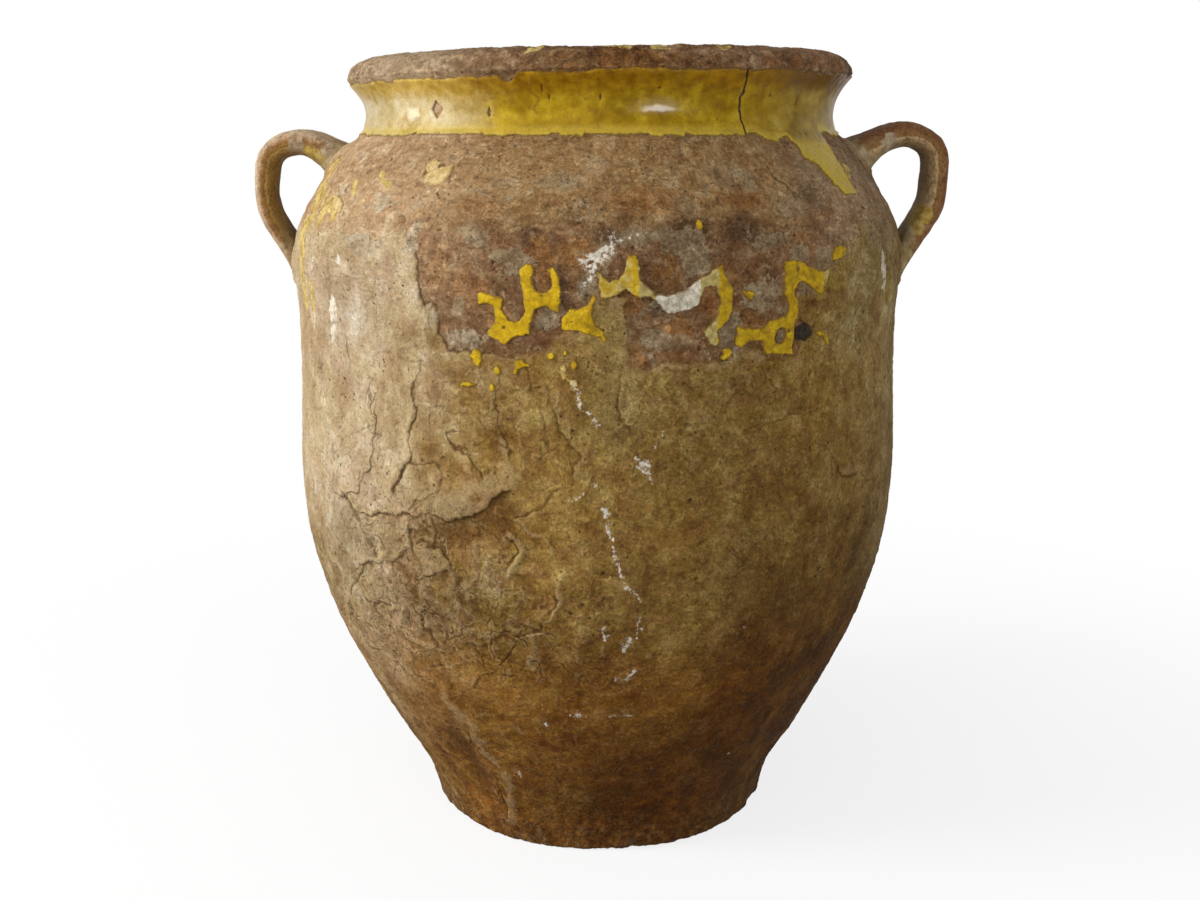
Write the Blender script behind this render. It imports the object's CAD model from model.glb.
# Confit pot on a pale floor: weathered earthenware with the last of its yellow glaze
import math
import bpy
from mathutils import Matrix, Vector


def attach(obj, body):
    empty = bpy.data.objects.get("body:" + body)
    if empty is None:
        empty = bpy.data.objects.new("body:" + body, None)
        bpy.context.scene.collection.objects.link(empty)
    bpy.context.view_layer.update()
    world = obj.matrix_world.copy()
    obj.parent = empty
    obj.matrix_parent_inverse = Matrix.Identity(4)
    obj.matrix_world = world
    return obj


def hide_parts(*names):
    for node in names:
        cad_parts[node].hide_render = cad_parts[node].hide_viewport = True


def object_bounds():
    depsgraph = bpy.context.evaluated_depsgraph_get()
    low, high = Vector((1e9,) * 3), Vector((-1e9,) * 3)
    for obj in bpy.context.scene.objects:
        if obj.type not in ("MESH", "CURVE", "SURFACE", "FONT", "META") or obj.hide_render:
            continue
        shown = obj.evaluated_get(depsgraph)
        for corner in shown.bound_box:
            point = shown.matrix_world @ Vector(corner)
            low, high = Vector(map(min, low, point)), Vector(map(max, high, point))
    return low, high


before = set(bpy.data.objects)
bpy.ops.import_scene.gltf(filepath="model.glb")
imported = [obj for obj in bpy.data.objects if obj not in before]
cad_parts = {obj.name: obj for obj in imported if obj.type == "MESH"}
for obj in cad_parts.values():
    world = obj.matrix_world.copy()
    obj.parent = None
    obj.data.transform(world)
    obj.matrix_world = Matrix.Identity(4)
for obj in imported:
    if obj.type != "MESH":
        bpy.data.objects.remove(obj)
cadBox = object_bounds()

from concurrent.futures import ThreadPoolExecutor
import bpy
import numpy as np
from mathutils import Vector
from mathutils.bvhtree import BVHTree
from mathutils.kdtree import KDTree

# All shape work below is in millimetres. A place on the wall is (round, up): mm round the belly from
# the middle of the front, + to the right, and mm above the floor.
bellyRadius = 130.9
girth = 2 * math.pi * bellyRadius


# numbers that vary over a surface

edgeDirections = np.array([(1, 1, 0), (-1, 1, 0), (1, -1, 0), (-1, -1, 0), (1, 0, 1), (-1, 0, 1),
                           (1, 0, -1), (-1, 0, -1), (0, 1, 1), (0, -1, 1), (0, 1, -1), (0, -1, -1),
                           (1, 1, 0), (-1, 1, 0), (0, -1, 1), (0, -1, -1)], np.float32)


def cellHash(cell, seed):
    mixed = (cell[:, 0].astype(np.uint32) * np.uint32(2654435761)
             ^ cell[:, 1].astype(np.uint32) * np.uint32(2246822519)
             ^ cell[:, 2].astype(np.uint32) * np.uint32(3266489917)) + np.uint32(seed * 668265 + 97)
    mixed = (mixed ^ (mixed >> np.uint32(15))) * np.uint32(739982445)
    mixed = (mixed ^ (mixed >> np.uint32(12))) * np.uint32(695872825)
    return mixed ^ (mixed >> np.uint32(15))


pool = ThreadPoolExecutor(4)


def inChunks(work, points):
    # large arrays go through in pieces, side by side
    flat = np.asarray(points, np.float32).reshape(-1, 3)
    pieces = np.array_split(flat, max(1, len(flat) // 20000))
    return np.concatenate(list(pool.map(work, pieces))).reshape(np.shape(points)[:-1])


def lumps(points, size, seed=0):
    # smooth noise from about -1 to 1, with lumps of this size
    return inChunks(lambda piece: lumpsIn(piece, size, seed), points)


def lumpsIn(flat, size, seed):
    flat = flat / np.float32(size) + np.float32(11.37 * seed)
    cell = np.floor(flat).astype(np.int32)
    part = flat - cell
    fade = part * part * part * (part * (part * 6 - 15) + 10)
    total = np.zeros(len(flat), np.float32)
    for corner in np.ndindex(2, 2, 2):
        corner = np.array(corner, np.int32)
        slope = edgeDirections[cellHash(cell + corner, seed) & np.uint32(15)]
        weight = np.where(corner > 0, fade, 1 - fade).prod(axis=1)
        total += ((part - corner) * slope).sum(axis=1) * weight
    return total * np.float32(1.1)


def layers(points, size, octaves, seed=0, fall=0.5):
    return sum(lumps(points, size / 2 ** k, seed + k) * fall ** k for k in range(octaves))


def spotDistance(points, size, seed=0):
    # how far the nearest of many scattered spots is, in steps of this size
    return inChunks(lambda piece: spotsIn(piece, size, seed), points)


def spotsIn(flat, size, seed):
    flat = flat / np.float32(size)
    cell = np.floor(flat).astype(np.int32)
    best = np.full(len(flat), 9.0, np.float32)
    for offset in np.ndindex(3, 3, 3):
        near = cell + np.array(offset, np.int32) - 1
        mixed = cellHash(near, seed)
        spot = near + np.stack([(mixed >> np.uint32(s)) & np.uint32(1023) for s in (0, 10, 20)], 1) / 1023
        best = np.minimum(best, ((flat - spot) ** 2).sum(axis=1))
    return np.sqrt(best)


def ease(value, low, high):
    share = np.clip((value - low) / (high - low), 0, 1)
    return share * share * (3 - 2 * share)


def lineDistance(roundHere, upHere, points):
    # distance to a line of points, and the side of it: + on the left of the way it runs
    best = np.full(np.shape(roundHere), 1e9)
    side = np.zeros(np.shape(roundHere))
    for (x0, y0), (x1, y1) in zip(points, points[1:]):
        dx, dy = x1 - x0, y1 - y0
        share = np.clip(((roundHere - x0) * dx + (upHere - y0) * dy) / (dx * dx + dy * dy), 0, 1)
        away = (roundHere - x0 - share * dx) ** 2 + (upHere - y0 - share * dy) ** 2
        nearer = away < best
        side = np.where(nearer, np.sign(dx * (upHere - y0) - dy * (roundHere - x0)), side)
        best = np.where(nearer, away, best)
    return np.sqrt(best), side


# reading the CAD and making meshes

def vertexValues(mesh, key):
    values = np.empty(len(mesh.vertices) * 3, np.float32)
    mesh.vertices.foreach_get(key, values)
    return values.reshape(-1, 3)


def meshPlaces(mesh):
    return vertexValues(mesh, "co") * 1000


def nodeTree(nodeName):
    # a node's surface, for rays and for nearest places
    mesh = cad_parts[nodeName].data
    return BVHTree.FromPolygons([v.co * 1000 for v in mesh.vertices], [p.vertices[:] for p in mesh.polygons])


def addObject(name, data):
    thing = bpy.data.objects.new(name, data)
    bpy.context.scene.collection.objects.link(thing)
    return thing


def turnedOutline(nodeName):
    # walks the outline of a turned node: radius, height, middle and tilt of each of its rings
    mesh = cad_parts[nodeName].data
    places, merged = np.unique(np.round(meshPlaces(mesh), 2), axis=0, return_inverse=True)
    edges = np.empty(len(mesh.edges) * 2, np.int32)
    mesh.edges.foreach_get("vertices", edges)
    edges = merged.ravel()[edges].reshape(-1, 2)
    sides = []
    for side in (1, -1):
        inPlane = (np.abs(places[:, 1]) < 0.05) & (places[:, 0] * side > 1)
        links = {}
        for a, b in edges:
            if a != b and inPlane[a] and inPlane[b]:
                links.setdefault(a, set()).add(b)
                links.setdefault(b, set()).add(a)
        ends = [k for k, near in links.items() if len(near) == 1]
        chain = [min(ends, key=lambda k: places[k][2])]
        while True:
            onward = [k for k in links[chain[-1]] if k not in chain[-2:]]
            if not onward:
                break
            chain.append(onward[0])
        sides.append(places[chain])
    right, left = sides
    radius = (right[:, 0] - left[:, 0]) / 2
    middle = (right[:, 0] + left[:, 0]) / 2
    height = (right[:, 2] + left[:, 2]) / 2
    tilt = (right[:, 2] - left[:, 2]) / (2 * radius)
    return np.stack([radius, height, middle, tilt], 1)


def smoothOutline(rings, stepAt, cornerTurn=33):
    # a finer outline through the rings, smooth except where it turns sharply
    way = rings[:, :2]
    length = np.linalg.norm(np.diff(way, axis=0), axis=1)
    slope = np.diff(rings, axis=0) / length[:, None]
    heading = np.degrees(np.unwrap(np.arctan2(slope[:, 1], slope[:, 0])))
    fine = []
    for k in range(len(length)):
        def tangent(j):
            if j == 0 or j == len(length) or abs(heading[j] - heading[j - 1]) > cornerTurn:
                return slope[k]
            a, b = length[j - 1], length[j]
            return (slope[j - 1] * b + slope[j] * a) / (a + b)
        start, end = tangent(k) * length[k], tangent(k + 1) * length[k]
        count = max(1, round(length[k] / stepAt(k)))
        for t in np.arange(count) / count:
            fine.append(rings[k] * (2 * t ** 3 - 3 * t ** 2 + 1) + start * (t ** 3 - 2 * t ** 2 + t)
                        + rings[k + 1] * (3 * t ** 2 - 2 * t ** 3) + end * (t ** 3 - t ** 2))
    fine.append(rings[-1])
    return np.array(fine)


def flatRings(ring, start, end, count):
    # rings of other sizes at the height of this one, to close a turned surface
    return np.array([[radius, *ring[1:]] for radius in np.linspace(start, end, count)])


def dress(mesh, attributes, material):
    for key, values in attributes.items():
        layer = mesh.attributes.new(key, "FLOAT", "POINT")
        layer.data.foreach_set("value", np.asarray(values, np.float32).ravel())
    mesh.polygons.foreach_set("use_smooth", np.ones(len(mesh.polygons), bool))
    mesh.materials.clear()
    mesh.materials.append(material)


def makeMesh(name, places, faces, attributes, material):
    # every face has four corners
    mesh = bpy.data.meshes.new(name)
    mesh.vertices.add(len(places))
    mesh.vertices.foreach_set("co", np.asarray(places / 1000, np.float32).ravel())
    mesh.loops.add(faces.size)
    mesh.loops.foreach_set("vertex_index", faces.ravel().astype(np.int32))
    mesh.polygons.add(len(faces))
    mesh.polygons.foreach_set("loop_start", np.arange(0, faces.size, 4, dtype=np.int32))
    mesh.polygons.foreach_set("loop_total", np.full(len(faces), 4, np.int32))
    mesh.update(calc_edges=True)
    dress(mesh, attributes, material)
    return addObject(name, mesh)


def gridFaces(rows, columns, closed):
    row, column = np.meshgrid(np.arange(rows - 1), np.arange(columns if closed else columns - 1),
                              indexing="ij")
    onward = (column + 1) % columns
    corners = [row * columns + column, row * columns + onward, (row + 1) * columns + onward,
               (row + 1) * columns + column]
    return np.stack([c.ravel() for c in corners], 1)


def blurred(grid, reach):
    # box blur that runs on round the pot
    for axis, mode in ((0, "edge"), (1, "wrap")):
        pad = [(0, 0), (0, 0)]
        pad[axis] = (reach + 1, reach)
        total = np.swapaxes(np.cumsum(np.pad(grid, pad, mode=mode), axis=axis), 0, axis)
        grid = np.swapaxes((total[2 * reach + 1:] - total[:-2 * reach - 1]) / (2 * reach + 1), 0, axis)
    return grid


# shader helpers

class Wire:
    # a node's output that takes Python's own operators
    def __init__(self, shader, socket):
        self.shader = shader
        self.socket = socket

    def combine(self, operation, first, second):
        return self.shader.node("Math", {"operation": operation}, {0: first, 1: second})

    def __add__(self, other):
        return self.combine("ADD", self, other)

    def __sub__(self, other):
        return self.combine("SUBTRACT", self, other)

    def __rsub__(self, other):
        return self.combine("SUBTRACT", other, self)

    def __mul__(self, other):
        return self.combine("MULTIPLY", self, other)

    def __truediv__(self, other):
        return self.combine("DIVIDE", self, other)

    __radd__ = __add__
    __rmul__ = __mul__


class Shader:
    def __init__(self, name, owners=bpy.data.materials):
        self.owner = owners.new(name)
        self.owner.use_nodes = True
        self.tree = self.owner.node_tree
        self.tree.nodes.clear()
        self.place = self.node("TexCoord", output="Object")

    def node(self, kind, settings=None, sockets=None, output=0):
        made = self.tree.nodes.new("ShaderNode" + kind)
        for key, value in (settings or {}).items():
            if key == "stops":
                stops = made.color_ramp.elements
                while len(stops) < len(value):
                    stops.new(0.5)
                for stop, (position, colour) in zip(stops, value):
                    stop.position, stop.color = position, (*colour, 1)
            else:
                setattr(made, key, value)
        for key, value in (sockets or {}).items():
            if isinstance(value, Wire):
                self.tree.links.new(value.socket, made.inputs[key])
            elif isinstance(value, tuple) and made.inputs[key].type == "RGBA":
                made.inputs[key].default_value = (*value, 1)
            else:
                made.inputs[key].default_value = value
        return Wire(self, made.outputs[output])

    def attribute(self, name):
        return self.node("Attribute", {"attribute_name": name}, output="Fac")

    def at(self, size, seed, squash=(1, 1, 1)):
        # the place on the object, scaled so that one step is this many mm
        scale = tuple(1000 * s / size for s in squash)
        shift = (seed * 3.7, seed * 5.3 + 1.1, seed * 2.9)
        return self.node("VectorMath", {"operation": "MULTIPLY_ADD"}, {0: self.place, 1: scale, 2: shift})

    def grain(self, size, detail=3, seed=0, squash=(1, 1, 1), rough=0.55, swirl=0):
        return self.node("TexNoise", {}, {"Vector": self.at(size, seed, squash), "Scale": 1.0,
                                          "Detail": detail, "Roughness": rough, "Distortion": swirl})

    def cells(self, size, seed=0, squash=(1, 1, 1), feature="F1"):
        return self.node("TexVoronoi", {"feature": feature},
                         {"Vector": self.at(size, seed, squash), "Scale": 1.0}, output="Distance")

    def step(self, value, low, high):
        return self.node("MapRange", {"interpolation_type": "SMOOTHSTEP"},
                         {"Value": value, "From Min": low, "From Max": high})

    def away(self, value):
        # how far a noise is from its middle
        return self.size(value - 0.5)

    def frayed(self, value, low, high, *noises):
        # a step whose place is pushed about by noises, each by its own amount
        if isinstance(value, str):
            value = self.attribute(value)
        for noise, amount in noises:
            value = value + (noise - 0.5) * amount
        return self.step(value, low, high)

    def cracks(self, size, seed, squash=(1, 1, 1)):
        # how far the nearest edge of warped cells is, in steps of this size
        push = self.node("TexNoise", {}, {"Vector": self.at(size * 0.8, seed), "Scale": 1.0, "Detail": 3.0},
                         output="Color")
        where = self.node("VectorMath", {"operation": "MULTIPLY_ADD"},
                          {0: push, 1: (1.1, 1.1, 1.1), 2: self.at(size, seed, squash)})
        return self.node("TexVoronoi", {"feature": "DISTANCE_TO_EDGE"}, {"Vector": where, "Scale": 1.0},
                         output="Distance")

    def scaled(self, colour, share):
        # the share may pass 1
        return self.node("Mix", {"data_type": "RGBA", "clamp_factor": False},
                         {0: share, 6: (0.0, 0.0, 0.0), 7: colour}, output=2)

    def ramp(self, value, *stops):
        # each stop is its place, then its colour
        stops = [(stop[0], stop[1:]) for stop in stops]
        return self.node("ValToRGB", {"stops": stops}, {"Fac": value}, output="Color")

    def blend(self, share, first, second, way="MIX"):
        return self.node("Mix", {"data_type": "RGBA", "blend_type": way}, {0: share, 6: first, 7: second},
                         output=2)

    def bump(self, height, depth, under=None):
        # depth in mm for a height of 1
        sockets = {"Height": height, "Distance": depth / 1000, "Strength": 1.0}
        if under is not None:
            sockets["Normal"] = under
        return self.node("Bump", {}, sockets, output="Normal")

    def seen(self):
        # 1 where the camera sees it, also in gloss or through glass
        rays = self.tree.nodes.new("ShaderNodeLightPath")
        camera, glossy, through = (Wire(self, rays.outputs["Is %s Ray" % kind])
                                   for kind in ("Camera", "Glossy", "Transmission"))
        return self.larger(self.larger(camera, glossy), through)

    def larger(self, first, second):
        return self.node("Math", {"operation": "MAXIMUM"}, {0: first, 1: second})

    def size(self, value):
        # the value without its sign
        return self.node("Math", {"operation": "ABSOLUTE"}, {0: value})

    def output(self, surface, kind="Material"):
        out = self.tree.nodes.new("ShaderNodeOutput" + kind)
        self.tree.links.new(surface.socket, out.inputs["Surface"])
        return self.owner

    def finish(self, sockets):
        return self.output(self.node("BsdfPrincipled", {}, sockets))


# the wall: places and shapes of what happened to it

wallLook = dict(
    frontStep=0.56, backStep=1.05, frontReach=150, outerStep=0.62, innerStep=9.0,  # how fine the mesh is, mm
    sunkBy=0.35, waves=0.35, swells=0.22, throwingRings=0.1, ringWidth=1.15, coatStep=0.75, grit=0.16,
    crustDepth=0.75, flaking=0.17, pits=0.4, finePits=0.25, scratches=1200, scratchDepth=0.25,
    rimWear=0.16, rimChips=0.35, footWear=0.4, footChips=0.9, lutedHeight=2.3, lutedReach=2.6,
    raggedBy=1.9, hollowReach=8)
margin = 0.02  # how far everything stays inside the CAD's own box

# upper edge of the tan coat round the pot, and how gradual it is there
coatEdgeTable = [
    (-411, 262), (-125, 263), (-78, 263), (-71, 256), (-69.5, 245), (-67, 236), (-61, 235), (-60.6, 231),
    (-59, 223), (-58, 220), (-45, 221), (-30, 220), (-20, 222), (-13, 228), (-2, 238), (0, 240), (9.5, 240),
    (10, 225), (12, 215), (50, 216), (55, 220), (65, 220), (79, 217), (80, 240), (90, 240), (95, 247),
    (100, 250), (110, 258), (125, 262), (411, 262)]
coatSoftTable = [
    (-411, 1), (-82, 1), (-74, 0.1), (-50, 0.05), (-20, 0.35), (60, 0.3), (85, 0.5), (105, 1), (411, 1)]

# cuts and ledges in the coat: kind, depth, width, then the line. A ledge is high on the left of its line.
marks = [
    # the long crack, the blade-shaped plate and the torn patch on the left
    ("ledge", -0.75, 4, [(-72.3, 207.5), (-73.4, 202.7), (-71.7, 200.2), (-72.8, 192.4), (-75.9, 188.6),
                         (-76.3, 183.4), (-74.8, 180), (-75.8, 176.4), (-78.3, 173.5), (-80.7, 167.9),
                         (-83.2, 164.4)]),
    ("cut", 1.0, 1.4, [(-83.3, 164.4), (-79.5, 168.4), (-77.2, 172.7)]),
    ("ledge", -0.5, 7, [(-93.3, 191.9), (-92.8, 184), (-97, 171.9), (-106, 162.3), (-116.5, 155.8)]),
    ("cut", 0.8, 1.0, [(-94.5, 198.3), (-95.9, 195.5), (-94.3, 192.6)]),
    ("cut", 0.3, 0.7, [(-115.4, 179.9), (-103.9, 183.4), (-93.9, 188.3)]),
    ("cut", 0.25, 0.8, [(-100.3, 215.7), (-83.1, 216.4), (-83, 212.1)]),
    ("ledge", 0.5, 6, [(-73.9, 159.9), (-72.8, 162.3), (-66.4, 164.3), (-62.3, 167.8), (-59.3, 171.6),
                       (-62.9, 177), (-75.9, 174.7)]),
    ("cut", 0.9, 1.3, [(-57, 189.1), (-55.1, 185.4), (-49.3, 183.3)]),
    ("cut", 0.5, 0.9, [(-57, 189.1), (-49.8, 190.9)]),
    ("ledge", -0.35, 3, [(-37.7, 212.6), (-36.4, 207.7), (-38.6, 202.6), (-36.4, 193.5), (-33, 184.3)]),
    ("cut", 0.3, 0.7, [(-49.3, 185.9), (-47.4, 179.2), (-42.9, 171)]),
    # the overhang across the crust, and the hollow under it
    ("ledge", 0.9, 5, [(-122.1, 157), (-111.3, 156.2), (-103.5, 151.9), (-89.2, 154), (-74.2, 156.7),
                       (-62.4, 157.4), (-54.6, 156), (-46.8, 158.5), (-39.6, 163.8), (-33.3, 168.5)]),
    ("swell", 1.2, 8, [(-66, 164), (-52, 166), (-42, 171), (-35, 177)]),
    ("swell", -1.0, 5, [(-68, 151), (-50, 151.5), (-40, 156), (-32, 162)]),
    # facets and folds below it
    ("cut", 1.7, 2.2, [(-114.5, 157.5), (-109.6, 152.7), (-103.5, 147.2), (-98.3, 140.4), (-96.5, 136.9)]),
    ("cut", 0.4, 0.7, [(-102, 147.4), (-91.9, 142.6), (-84.5, 136.2)]),
    ("ledge", 0.7, 6, [(-108, 129.8), (-99.4, 132), (-87.3, 134.8), (-83.6, 134.9)]),
    ("cut", 0.8, 1.2, [(-106, 129.2), (-113.5, 121.4), (-122.2, 113.2)]),
    ("ledge", 0.9, 5, [(-84.5, 136.2), (-80.1, 138.9), (-74.8, 142.6), (-74.8, 147.4), (-74.8, 150.2)]),
    ("cut", 0.8, 1.1, [(-64.5, 154.2), (-64, 148.6)]),
    ("ledge", -1.2, 5, [(-64.6, 144), (-60.3, 143.7), (-57, 139.4), (-56.2, 136.7)]),
    ("ledge", -0.6, 4, [(-56.2, 136.7), (-64.1, 133.8), (-73.7, 129.9)]),
    ("cut", 1.6, 2.0, [(-53.7, 133.2), (-53.4, 126.4), (-52.6, 123)]),
    ("swell", 1.2, 1.4, [(-85.6, 115), (-87.5, 108.5), (-85, 102.7), (-77.8, 100.4), (-71.6, 99.9)]),
    ("cut", 0.6, 0.9, [(-83, 113), (-84, 108), (-82, 104.5), (-77, 102.5)]),
    ("cut", 1.3, 1.5, [(-80.2, 118.2), (-74.2, 114.1), (-74, 109), (-70.2, 103.4), (-69.6, 100.9)]),
    ("swell", 1.1, 1.6, [(-126, 110), (-132, 104), (-134, 96), (-129.4, 90)]),
    ("cut", 0.7, 1.2, [(-109.5, 116.1), (-107.3, 114), (-100.9, 113.9), (-92, 116.3)]),
    ("cut", 0.5, 0.8, [(-78.2, 117.4), (-68.8, 116.5), (-59.7, 115.4)]),
    ("swell", 1.1, 1.2, [(-31.5, 152.8), (-28.3, 149.3), (-28, 145.7), (-30.6, 141.7), (-33.7, 136.9)]),
    ("cut", 0.8, 1.1, [(-33, 151), (-30.4, 148.5), (-30.2, 146), (-32.6, 142), (-35, 138.5)]),
    ("swell", 0.8, 1.0, [(-47, 153.3), (-47.6, 146.9), (-47, 143.7)]),
    ("cut", 0.4, 0.9, [(-55.2, 145.1), (-47.8, 145.9)]),
    ("swell", 0.6, 0.9, [(-37, 159.9), (-32.1, 160.7), (-27.8, 156.6), (-23.7, 153.2), (-18.6, 149.8),
                         (-16.1, 147.2)]),
    ("swell", 0.7, 1.0, [(-12.1, 139), (-13.6, 131.5), (-14.8, 124.6), (-19, 118)]),
    ("cut", 0.7, 0.9, [(-15.6, 129), (-16.6, 124.4), (-20.4, 118.2), (-22.7, 114.4), (-32.7, 112.2)]),
    ("swell", 0.7, 0.9, [(-28.9, 132.5), (-28.7, 125.7)]),
    ("cut", 1.2, 2.1, [(-46.2, 105.6), (-41, 109), (-36.6, 112.9)]),
    ("cut", 0.8, 1.0, [(-52, 104), (-48, 101), (-45, 102)]),
    ("cut", 0.8, 0.9, [(-40, 98), (-35, 103), (-33, 107)]),
    ("cut", 0.6, 0.8, [(-58, 100), (-53, 98)]),
    ("cut", 1.5, 1.5, [(-26.4, 100.3), (-25.4, 100.2)]),
    ("ledge", 0.7, 3, [(-55.8, 86.9), (-49.3, 92.3), (-42.5, 92.6), (-35.7, 93.3)]),
    ("cut", 0.7, 0.9, [(-79.3, 90.1), (-72, 92.4), (-65.2, 94.9)]),
    ("cut", 0.5, 0.8, [(-15.9, 100.8), (-9.1, 95.6)]),
    ("cut", 0.4, 0.8, [(-46.5, 74.3), (-40, 72)]),
    ("cut", 0.35, 0.8, [(60, 191), (78, 194), (94, 195)]),
    ("cut", 0.3, 0.8, [(62, 186), (76, 181), (86, 180)]),
    ("cut", 0.3, 0.8, [(92, 180), (104, 177)]),
    ("cut", 0.5, 1.0, [(125, 164), (134, 160), (145, 157)]),
    ("cut", 0.8, 1.0, [(-57, 187), (-52, 183), (-47, 180), (-42, 174)]),
    ("cut", 0.3, 0.8, [(-22, 180), (-14, 188), (-8, 187)]),
    ("cut", 0.35, 0.9, [(-37, 187), (-30, 184), (-24, 186)]),
    # the hollow and the ridge beside it above the foot
    ("swell", -1.4, 6, [(-80, 58), (-79, 48), (-78, 34)]),
    ("swell", 1.1, 4.5, [(-75.5, 75.9), (-66, 64), (-63, 51.3), (-56, 40), (-57, 30), (-62, 20),
                         (-65.4, 12.3)]),
    ("cut", 0.8, 1.2, [(-65.4, 32.4), (-67.6, 21.1), (-68.6, 11.9)]),
    ("cut", 0.6, 1.0, [(-85.8, 59.9), (-75.6, 62), (-68.7, 58.1), (-73.1, 52.1)]),
    ("cut", 0.5, 0.9, [(-102.9, 56.1), (-102.9, 47.1), (-92, 43.1)]),
    ("cut", 0.9, 1.2, [(-121, 33.6), (-120.5, 31)]),
    ("cut", 0.6, 1.2, [(76.5, 285), (82, 280), (88, 275)]),
    ("cut", 0.9, 1.5, [(70, 317), (71.5, 321), (70.5, 324), (73, 329.5)]),
    ("cut", 0.5, 1.0, [(-5, 321), (12, 320), (30, 321.5)]),
    ("cut", 0.5, 1.2, [(8.5, 215), (7, 205), (8, 198), (12, 191)]),
    ("ledge", 0.2, 2.5, [(11, 216), (28, 213), (38, 213.5)]),
    ("cut", 0.45, 1.0, [(62, 213), (70, 206), (84, 200)]),
    ("cut", 0.5, 1.1, [(-26, 215), (-24, 206), (-20, 198), (-18, 188)]),
    ("ledge", 0.5, 3, [(-16, 204), (-12, 192), (-6, 184), (-9, 176)]),
    ("cut", 0.5, 1.0, [(-14, 170), (-20, 164), (-30, 160)]),
    ("cut", 0.25, 0.5, [(-103, 226), (-100, 219), (-97, 213), (-95, 207)]),
    ("cut", 0.25, 0.5, [(-90, 236), (-93, 226), (-97, 214)]),
    ("cut", 0.9, 1.1, [(-97.5, 201), (-96.5, 197.5)]),
    ("cut", 0.35, 0.7, [(-118, 178), (-108, 182), (-100, 185)]),
    ("ledge", 0.5, 3, [(100, 176), (108, 168), (120, 165)]),
    ("cut", 0.5, 1.0, [(96, 132), (104, 128), (114, 130)]),
]

# white lime scuffs: dots as (round, up, size), and strokes as half width, then line
scuffs = [
    (0.2, 254.4, 2.4), (-1.5, 251.3, 2.0), (15, 182.5, 1.8), (17.5, 179.5, 2.2), (12, 110, 2.2),
    (11, 107, 1.5), (3.8, 112.5, 1.4), (18, 116, 1.2), (13.8, 95, 1.8), (10, 94, 1.2), (-8.8, 75, 1.6),
    (-12, 75, 1.0), (-5, 74.5, 1.0), (-25, 71, 1.4), (24, 191, 1.0), (22, 186, 0.9), (61, 113, 0.9),
    (78, 46, 0.9), (-47, 40, 1.3), (0, 173, 1.0), (-1, 185, 0.9)]
strokes = [
    (1.0, [(-9, 210), (-7.5, 205), (-4.3, 199.3), (0, 194.9)]), (1.3, [(2.7, 163.5), (3.7, 160.5)]),
    (1.3, [(4.4, 157.5), (5.4, 152.5)]), (1.2, [(6.2, 149.5), (7.4, 144.5)]),
    (1.1, [(8, 142.5), (9.2, 138)]), (1.0, [(9.9, 136), (11.6, 132.5)]), (1.0, [(12.8, 131), (14, 127.5)]),
    (1.2, [(16, 178.5), (19.5, 174)]), (0.7, [(-10, 166.5), (-5, 168), (-1.5, 171)]),
    (1.0, [(16.5, 119), (16, 112)]), (1.0, [(2, 117), (3.8, 111)]), (0.8, [(5, 76), (16, 75.5)]),
    (1.6, [(-6, 253), (0, 255.5), (4, 258)]), (1.3, [(-4, 255.5), (3, 254)]),
    (1.2, [(-5, 251), (1, 252.5)]), (1.5, [(-1.5, 251), (-1, 247)]),
    (0.9, [(3, 256), (5.5, 261), (5.8, 264)]), (0.8, [(6, 262), (10, 262.5), (15, 262.5)]),
    (1.0, [(-2, 247), (-4, 243)])]

# thin yellow remains of glaze: half width, then the line
stains = [
    (4.6, [(-176, 285), (-170, 281.5), (-164, 277.8), (-158, 274), (-152.4, 271)]),
    (3.2, [(-152, 270.5), (-149, 265)]), (2.6, [(-143, 274), (-139, 268), (-137, 264)]),
    (3.6, [(-132.4, 271.8), (-126.4, 268.8)]), (1.8, [(-122, 279), (-118, 276)]),
    (4.6, [(-156, 262), (-153, 250)]), (3.0, [(-153, 249), (-151, 238), (-150.5, 229)]),
    (2.2, [(-140, 238), (-140.5, 230)]), (1.6, [(-104, 283), (-98, 280)]), (2.2, [(136, 283), (138, 286)]),
    (1.0, [(-12, 216), (-9, 209)]), (0.9, [(60, 329.6), (66, 329.8)]), (1.3, [(4, 329.6), (15, 329.8)]),
    (1.1, [(25, 329.5), (34, 329.7)]), (1.1, [(-34, 329.3), (-29, 329.4)])]
washes = [(98, 244, 9, 5), (104, 250, 3.5, 4), (93, 239, 5, 5), (148, 238, 5, 14)]

# slip, rust, umber, pale chips and ovals on the wall: (round, up, half width, half height)
slipSpots = [
    (-72.2, 260.3, 3.6, 7.5), (-65.4, 232.2, 3.6, 4.2), (-48.6, 224.6, 9, 4.8), (-29.8, 253.6, 9.5, 6.5),
    (-18.4, 233.0, 5.0, 5.0), (-2.4, 244.1, 4.6, 7.5), (30.8, 260.6, 12, 6), (36.0, 253.5, 7, 5.5),
    (63.5, 240.8, 9, 8.5), (80.2, 254.2, 5, 5.5), (85.2, 238.1, 6.5, 8), (70.2, 259.6, 10, 3),
    (49.3, 226.8, 6, 7), (72.7, 224.0, 3.2, 4), (24, 225, 10, 4), (52, 215.5, 9, 5), (12, 262, 6, 3.5),
    (-46, 262, 8, 4), (-52, 236, 4, 4), (0, 228, 5, 4), (92, 250, 5, 8), (56, 283, 12, 6), (78, 270, 8, 5),
    (-20, 281, 10, 3), (34, 272, 8, 3), (-88, 288, 7, 4), (98, 284, 6, 7), (104, 276, 8, 4),
    (112, 284, 6, 8)]
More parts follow.
